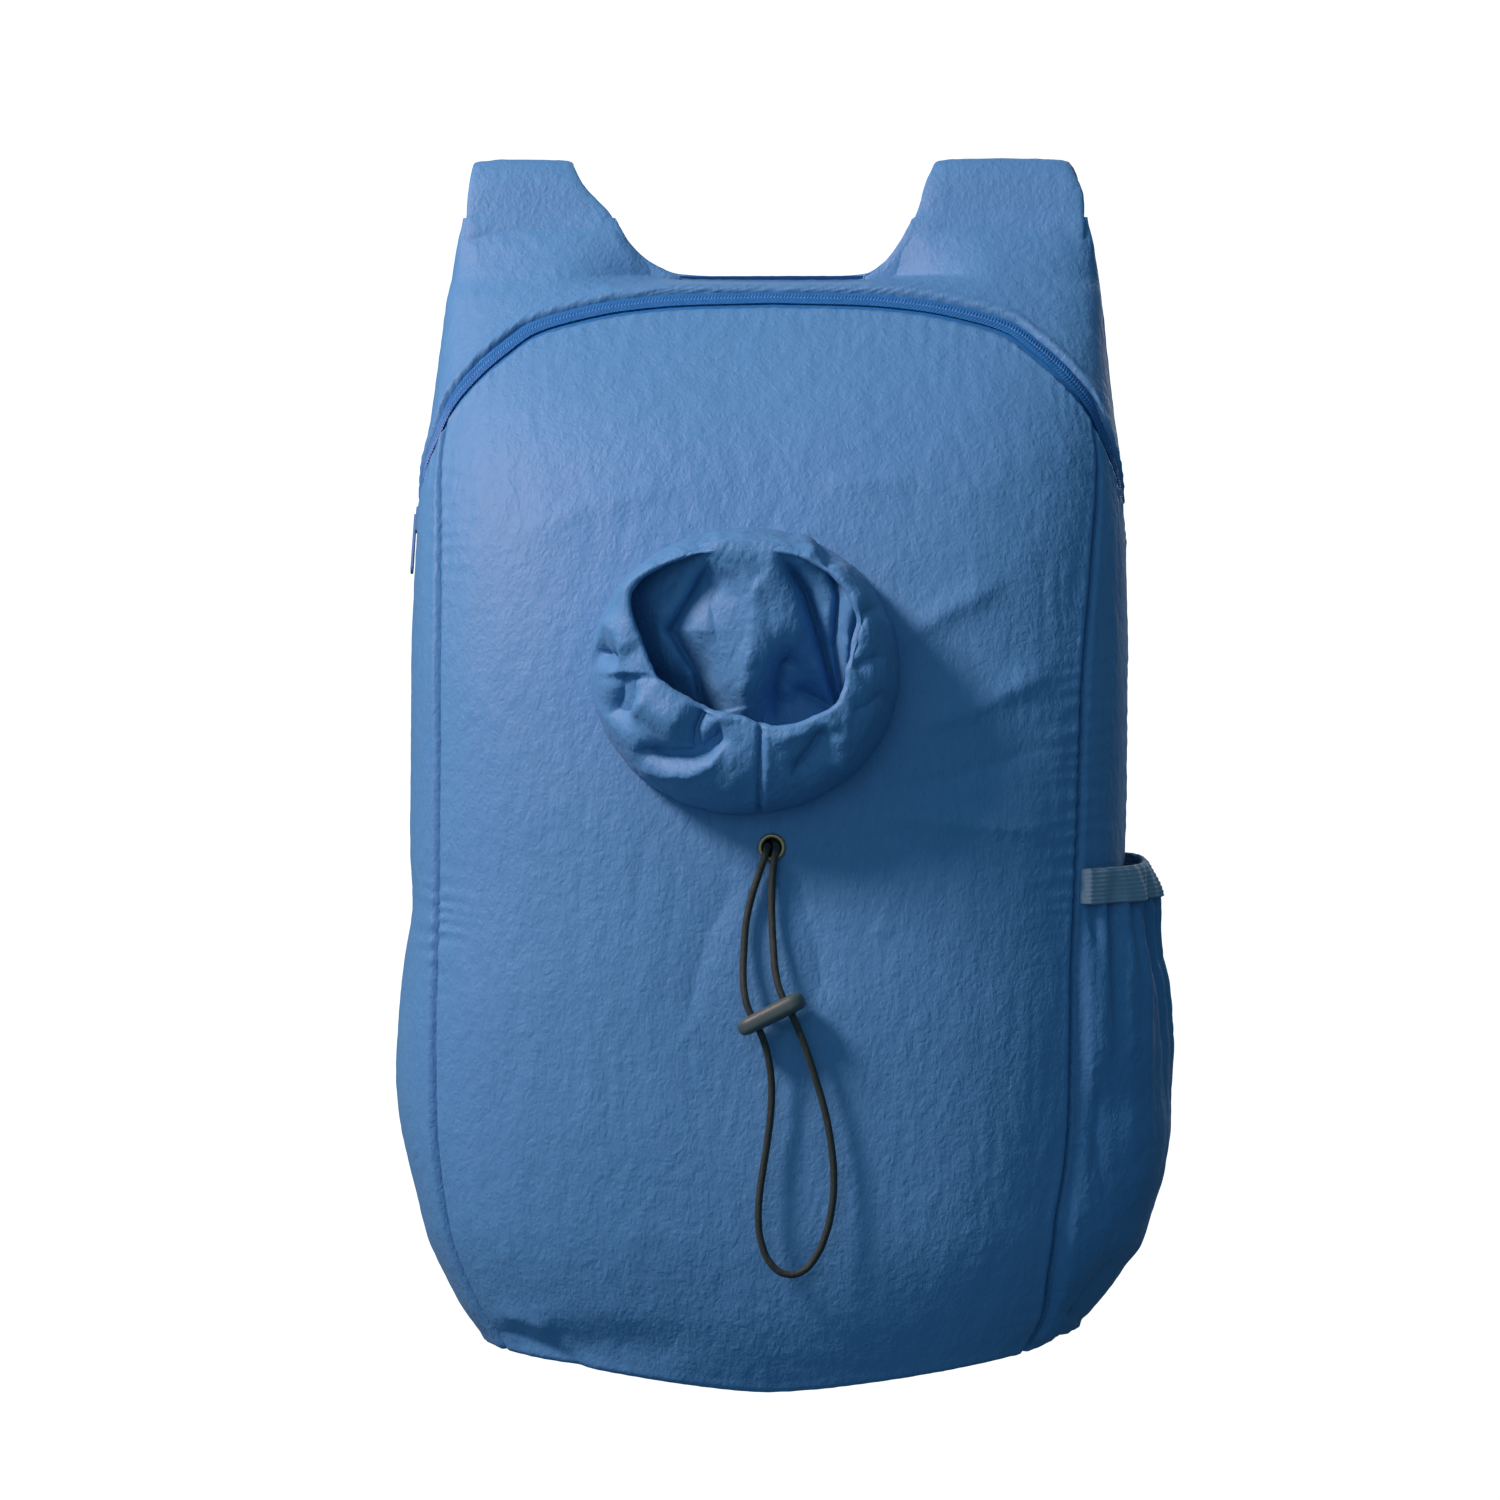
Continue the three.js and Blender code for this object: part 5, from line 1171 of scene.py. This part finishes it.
def anchor(side, height):
    """Where the webbing lies on the back at a height, and the direction of its width."""
    turn = np.array(side * ANCHOR_TURN)
    normal = skin_normal(turn, np.array(float(height)))
    middle = skin(turn, np.array(float(height))) + normal * (1.2 + WEB_THICK / 2)
    return middle, -unit(np.array([-normal[1], normal[0], 0.0]))


def adjuster_frame(side):
    """A function of a distance down an adjuster and one off its face, for a place and its width."""
    end = strap_line[-1]
    top = np.array([side * half_width(SHOULDER_SEAM) * STRAP_RUN[-1]["centre"], end[0], end[1]])
    down = unit(anchor(side, ANCHOR_HIGH)[0] - top)
    across = unit(np.array([1.0, 0, 0]) - down * down[0])
    out = np.cross(across, down)
    return (lambda s, n: (top + down * s + out * n, across))


def ribbon(name, places, width, thick, step=1.0, columns=22):
    """Webbing through places: a rounded flat section."""
    middles = np.array([p[0] for p in places])
    sides = np.array([p[1] for p in places])
    runs = np.insert(np.cumsum(np.linalg.norm(np.diff(middles, axis=0), axis=1)), 0, 0)
    count = int(runs[-1] / step) + 2
    fine = np.linspace(0, runs[-1], count)
    middle = np.stack([catmull(runs, middles[:, k], fine) for k in range(3)], axis=-1)
    side = unit(np.stack([np.interp(fine, runs, sides[:, k]) for k in range(3)], axis=-1))
    face = unit(np.cross(side, np.gradient(middle, axis=0)))
    angle = np.linspace(0, 2 * np.pi, columns, endpoint=False)
    c, s = np.cos(angle), np.sin(angle)
    x = width / 2 * np.sign(c) * np.abs(c) ** 0.35
    out = thick / 2 * np.sign(s) * np.abs(s) ** 0.5
    grid = middle[:, None] + side[:, None] * x[None, :, None] + face[:, None] * out[None, :, None]
    strip = grid.transpose(1, 0, 2)
    rows = strip.shape[1]
    ends = [[i * rows for i in reversed(range(columns))], [i * rows + rows - 1 for i in range(columns)]]
    return make_piece(name, strip.reshape(-1, 3), grid_faces(columns, rows, 0, True) + ends)


def catmull(xs, ys, x):
    slopes = np.gradient(ys, xs)
    i = np.clip(np.searchsorted(xs, x, side="right") - 1, 0, len(xs) - 2)
    span = xs[i + 1] - xs[i]
    t = (x - xs[i]) / span
    level = ys[i] * (1 + 2 * t) * (1 - t) ** 2 + ys[i + 1] * t * t * (3 - 2 * t)
    return level + span * (slopes[i] * t * (1 - t) ** 2 - slopes[i + 1] * t * t * (1 - t))


for name, side in (("left", -1), ("right", 1)):
    at = adjuster_frame(side)
    fold_at = ADJUSTER_DROP + ADJUSTER_BAR + ADJUSTER_SLOT * 0.5
    leg = max(WEB_OFF, STRAP_RUN[-1]["thick"] * STRAP_THICK / 2 + 0.3 + WEB_THICK / 2 + 0.3)
    half_loop = [(-9, leg), (0, leg), (fold_at - 2.6, leg - 0.1), (fold_at - 0.7, leg * 0.62)]
    loop_path = [(s, -n) for s, n in half_loop] + [(fold_at, 0)] + half_loop[::-1]
    loop = ribbon("strap_loop_cloth_" + name, [at(s, n) for s, n in loop_path], WEB_WIDTH, WEB_THICK, 0.4)
    upper = ADJUSTER_DROP + ADJUSTER_BAR + ADJUSTER_SLOT + ADJUSTER_BAR + ADJUSTER_SLOT / 2
    lower = upper + ADJUSTER_SLOT + ADJUSTER_BAR
    load = WEB_OFF + WEB_THICK + 0.5
    bottom = ADJUSTER_DROP + ADJUSTER_LENGTH
    sewn, free = anchor(side, ANCHOR_HIGH), at(bottom + 14, -load)
    twist = [
        (sewn[0] * (1 - t) + free[0] * t, unit(sewn[1] * (1 - t) + free[1] * t))
        for t in np.arange(1, 6) / 6
    ]
    run_path = [
        (bottom, -load), (lower, -load), (upper + 2.6, -WEB_OFF - 0.3), (upper + 0.6, -1.6), (upper, 0),
        (upper + 0.6, 1.8), (upper + 2.6, WEB_OFF), (lower - 2.6, WEB_OFF), (lower - 0.6, 1.8), (lower, 0),
        (lower + 0.6, -1.6), (lower + 2.8, -WEB_OFF), (bottom + 2, -WEB_OFF), (bottom + 18, -WEB_OFF + 2),
        (bottom + 58, -WEB_OFF + 5),
    ]
    places = [anchor(side, ANCHOR_LOW), sewn] + twist + [free] + [at(s, n) for s, n in run_path]
    web = ribbon("webbing_cloth_" + name, places, WEB_WIDTH, WEB_THICK, 0.7)
    stand_in(loop, "strap_loop_" + name)
    stand_in(web, "webbing_" + name)

# %% [markdown]
# Finishes. Thin crinkled nylon is matt with a faint sheen, and its finest creases and its weave
# are far smaller than the mesh, so they are bump. The colour wavers a little at random, and the
# crease lines are darkened with painted shade.

# %% Materials
WEAVE_DEPTH = 0.05
CLOUD_SIZE = 40


def shader(material):
    return next(n for n in material.node_tree.nodes if n.type == "BSDF_PRINCIPLED")


def srgb(r, g, b):
    """An eye colour from 0 to 255 as the renderer's linear colour."""
    def linear(level):
        level /= 255
        return level / 12.92 if level <= 0.04045 else ((level + 0.055) / 1.055) ** 2.4
    return (linear(r), linear(g), linear(b), 1)


def feed(tree, node, inputs):
    """Sets a node's inputs: a socket is linked, and anything else is the value."""
    for name, value in inputs.items():
        if isinstance(value, bpy.types.NodeSocket):
            tree.links.new(value, node.inputs[name])
        else:
            node.inputs[name].default_value = value


def add_node(tree, kind, inputs):
    node = tree.nodes.new("ShaderNode" + kind)
    feed(tree, node, inputs)
    return node


def new_material(name):
    material = bpy.data.materials.new(name)
    material.use_nodes = True
    return material, material.node_tree, shader(material)


def cloth_material(name, light, dark_and_crease_shade, roughness, crease_size, crease_depth, weave, sheen):
    """Cloth with its sizes in millimetres. The colour wavers at random, and the lines of the creases take
    the darker colour as painted shade.
    """
    material, tree, surface = new_material(name)
    feed(tree, surface, {
        "Roughness": roughness, "Sheen Weight": sheen, "Sheen Roughness": 0.5,
        "Sheen Tint": (0.7, 0.85, 1.0, 1), "Specular IOR Level": 0.35,
    })
    place = tree.nodes.new("ShaderNodeTexCoord").outputs["Object"]

    def texture(size, detail, stretch=(1, 1, 1)):
        stretched = add_node(tree, "Mapping", {"Scale": stretch, "Vector": place}).outputs["Vector"]
        cloud = add_node(tree, "TexNoise", {"Scale": 1000 / size, "Detail": detail, "Vector": stretched})
        return cloud.outputs["Fac"]

    def maths(operation, a, b):
        node = tree.nodes.new("ShaderNodeMath")
        node.operation = operation
        feed(tree, node, {0: a, 1: b})
        return node.outputs[0]

    def bumped(height, strength, depth, under):
        inputs = {"Strength": strength, "Distance": depth / 1000, "Height": height, **under}
        return add_node(tree, "Bump", inputs).outputs["Normal"]

    large = texture(crease_size, 2, (1, 1, 0.55))
    small = texture(crease_size / 2.6, 2, (1, 1, 0.7))
    large, small = (maths("ABSOLUTE", maths("SUBTRACT", t, 0.5), 0) for t in (large, small))
    height = maths("ADD", maths("MULTIPLY", large, 1.5), maths("MULTIPLY", small, 1.5))
    creased = bumped(height, 1.0, crease_depth, {})
    woven = bumped(texture(weave, 1), 0.5, WEAVE_DEPTH, {"Normal": creased})
    feed(tree, surface, {"Normal": woven})
    # Painted shade: the crease lines take the darker colour, and a slow cloud varies the tone at random.
    tone_and_crease_shade = maths("ADD", maths("MULTIPLY", texture(CLOUD_SIZE, 2), 0.4), maths("MULTIPLY", large, 2.2))
    mix = tree.nodes.new("ShaderNodeMix")
    mix.data_type = "RGBA"
    feed(tree, mix, {"A": dark_and_crease_shade, "B": light, "Factor": tone_and_crease_shade})
    feed(tree, surface, {"Base Color": mix.outputs["Result"]})
    return material


nylon = cloth_material("crinkled_nylon", srgb(70, 130, 186), srgb(65, 124, 180), 0.6, 7, 0.45, 0.5, 0.04)
pocket_nylon = cloth_material(
    "pocket_nylon", srgb(62, 124, 180), srgb(56, 116, 172), 0.62, 7, 0.45, 0.5, 0.04,
)
elastic = cloth_material("elastic_band", srgb(116, 150, 178), srgb(100, 134, 162), 0.8, 4, 0.1, 1.2, 0.15)
tape = cloth_material("zip_tape", srgb(30, 112, 182), srgb(18, 92, 162), 0.5, 6, 0.05, 0.6, 0.1)
web_cloth = cloth_material("webbing_cloth", srgb(70, 108, 160), srgb(54, 92, 142), 0.65, 5, 0.05, 0.9, 0.15)
cord_cloth = cloth_material("cord_braid", srgb(40, 58, 60), srgb(20, 32, 34), 0.65, 2.5, 0.2, 0.8, 0.1)


def hard_material(name, color, roughness, metallic, grain):
    material, tree, surface = new_material(name)
    place = tree.nodes.new("ShaderNodeTexCoord").outputs["Object"]
    cloud = add_node(tree, "TexNoise", {"Scale": 1000 / grain, "Detail": 3, "Vector": place}).outputs["Fac"]
    span = add_node(tree, "MapRange", {
        "To Min": roughness - 0.08, "To Max": roughness + 0.1, "Value": cloud,
    })
    bump = add_node(tree, "Bump", {"Strength": 0.3, "Distance": 0.03 / 1000, "Height": cloud})
    feed(tree, surface, {
        "Base Color": color, "Metallic": metallic, "Roughness": span.outputs["Result"],
        "Normal": bump.outputs["Normal"],
    })
    return material


metal = hard_material("aged_metal", srgb(150, 138, 108), 0.38, 0.9, 2.0)
lock_plastic = hard_material("lock_plastic", srgb(58, 80, 86), 0.5, 0.0, 0.6)
slider_paint = hard_material("slider_paint", srgb(70, 118, 172), 0.5, 0.0, 1.0)
blue_plastic = hard_material("adjuster_plastic", srgb(30, 58, 98), 0.42, 0.0, 0.8)

cloths = list(walls.values()) + [yoke_cloth, collar_cloth, pouch_cloth] + list(strap_pieces.values())
for piece in cloths:
    piece.data.materials.append(nylon)
pocket_cloth.data.materials.append(pocket_nylon)
band_cloth.data.materials.append(elastic)
for piece in (zip_coil, zip_low, zip_high):
    piece.data.materials.append(tape)
for name in ("left", "right"):
    for start in ("strap_loop_cloth_", "webbing_cloth_"):
        bpy.data.objects[start + name].data.materials.append(web_cloth)
drawcord.data.materials.append(cord_cloth)
eyelet_ring.data.materials.append(metal)
lock_bar.data.materials.append(lock_plastic)
for node, material in (
    ("zip_slider", slider_paint), ("ladder_lock_left", blue_plastic), ("ladder_lock_right", blue_plastic),
    ("drawcord_hidden", cord_cloth),
):
    bpy.data.objects[node].data.materials.clear()
    bpy.data.objects[node].data.materials.append(material)

# %% [markdown]
# The cord is declared last, once its lock is there: it leaves the object at the eyelet and both
# its ends are at the object.

stand_in(drawcord, "drawcord")

# %% [markdown]
# A pale floor lies below, and a pale sphere surrounds everything. A small warm lamp at the upper
# left casts the shadows, a weak broad one fills them from the front, and a third lights the
# wearer's side. The world is a dim blue, brighter towards the upper left, so that the right side
# falls into blue shade as in the photograph.

# %% Floor and light
bpy.ops.mesh.primitive_plane_add(size=18, location=(0, 0, -1.1))
floor = bpy.context.object
floor.name = "floor"
bpy.ops.mesh.primitive_uv_sphere_add(radius=12, segments=48, ring_count=24, location=(0, 0, 0))
backdrop = bpy.context.object
backdrop.name = "backdrop"
for sheet, color, glow in ((floor, 0.8, 0.7), (backdrop, 0.9, 0.93)):
    pale, tree, surface = new_material("pale_" + sheet.name)
    feed(tree, surface, {
        "Base Color": (color, color, color, 1), "Roughness": 0.9,
        "Emission Color": (1, 1, 1, 1), "Emission Strength": glow,
    })
    sheet.data.materials.append(pale)
    sheet.visible_diffuse = False
    sheet.visible_glossy = False
backdrop.visible_shadow = False

SKY_BLUE = (0.5, 0.82, 1.0, 1)
SKY_DIM, SKY_BRIGHT = 0.1, 0.38
BRIGHT_SKY = (-0.66, -0.2, 0.72)
world = bpy.data.worlds.new("world")
bpy.context.scene.world = world
world.use_nodes = True
sky = world.node_tree
direction = sky.nodes.new("ShaderNodeTexCoord").outputs["Generated"]
toward = add_node(sky, "VectorMath", {0: direction, 1: BRIGHT_SKY})
toward.operation = "DOT_PRODUCT"
level = add_node(sky, "MapRange", {
    "From Min": -1.0, "To Min": SKY_DIM, "To Max": SKY_BRIGHT, "Value": toward.outputs["Value"],
})
feed(sky, sky.nodes["Background"], {"Strength": level.outputs["Result"], "Color": SKY_BLUE})


def lamp(name, place, target, size, power, color):
    data = bpy.data.lights.new(name, "AREA")
    data.shape = "DISK"
    data.size = size
    data.energy = power
    data.color = color
    light = bpy.data.objects.new(name, data)
    light.location = place
    light.rotation_euler = (Vector(target) - Vector(place)).to_track_quat("-Z", "Y").to_euler()
    bpy.context.scene.collection.objects.link(light)


MIDDLE = (0, 0, -0.24)
lamp("key", (-1.2, -0.92, 0.92), MIDDLE, 0.45, 53, (1.06, 0.66, 0.55))
lamp("fill", (-0.4, -2.4, 0.4), MIDDLE, 1.6, 5.5, (0.8, 0.94, 1.0))
lamp("behind", (0.9, 2.6, 0.9), MIDDLE, 1.6, 26, (1.0, 0.94, 0.88))
bpy.context.scene.view_settings.view_transform = "Standard"
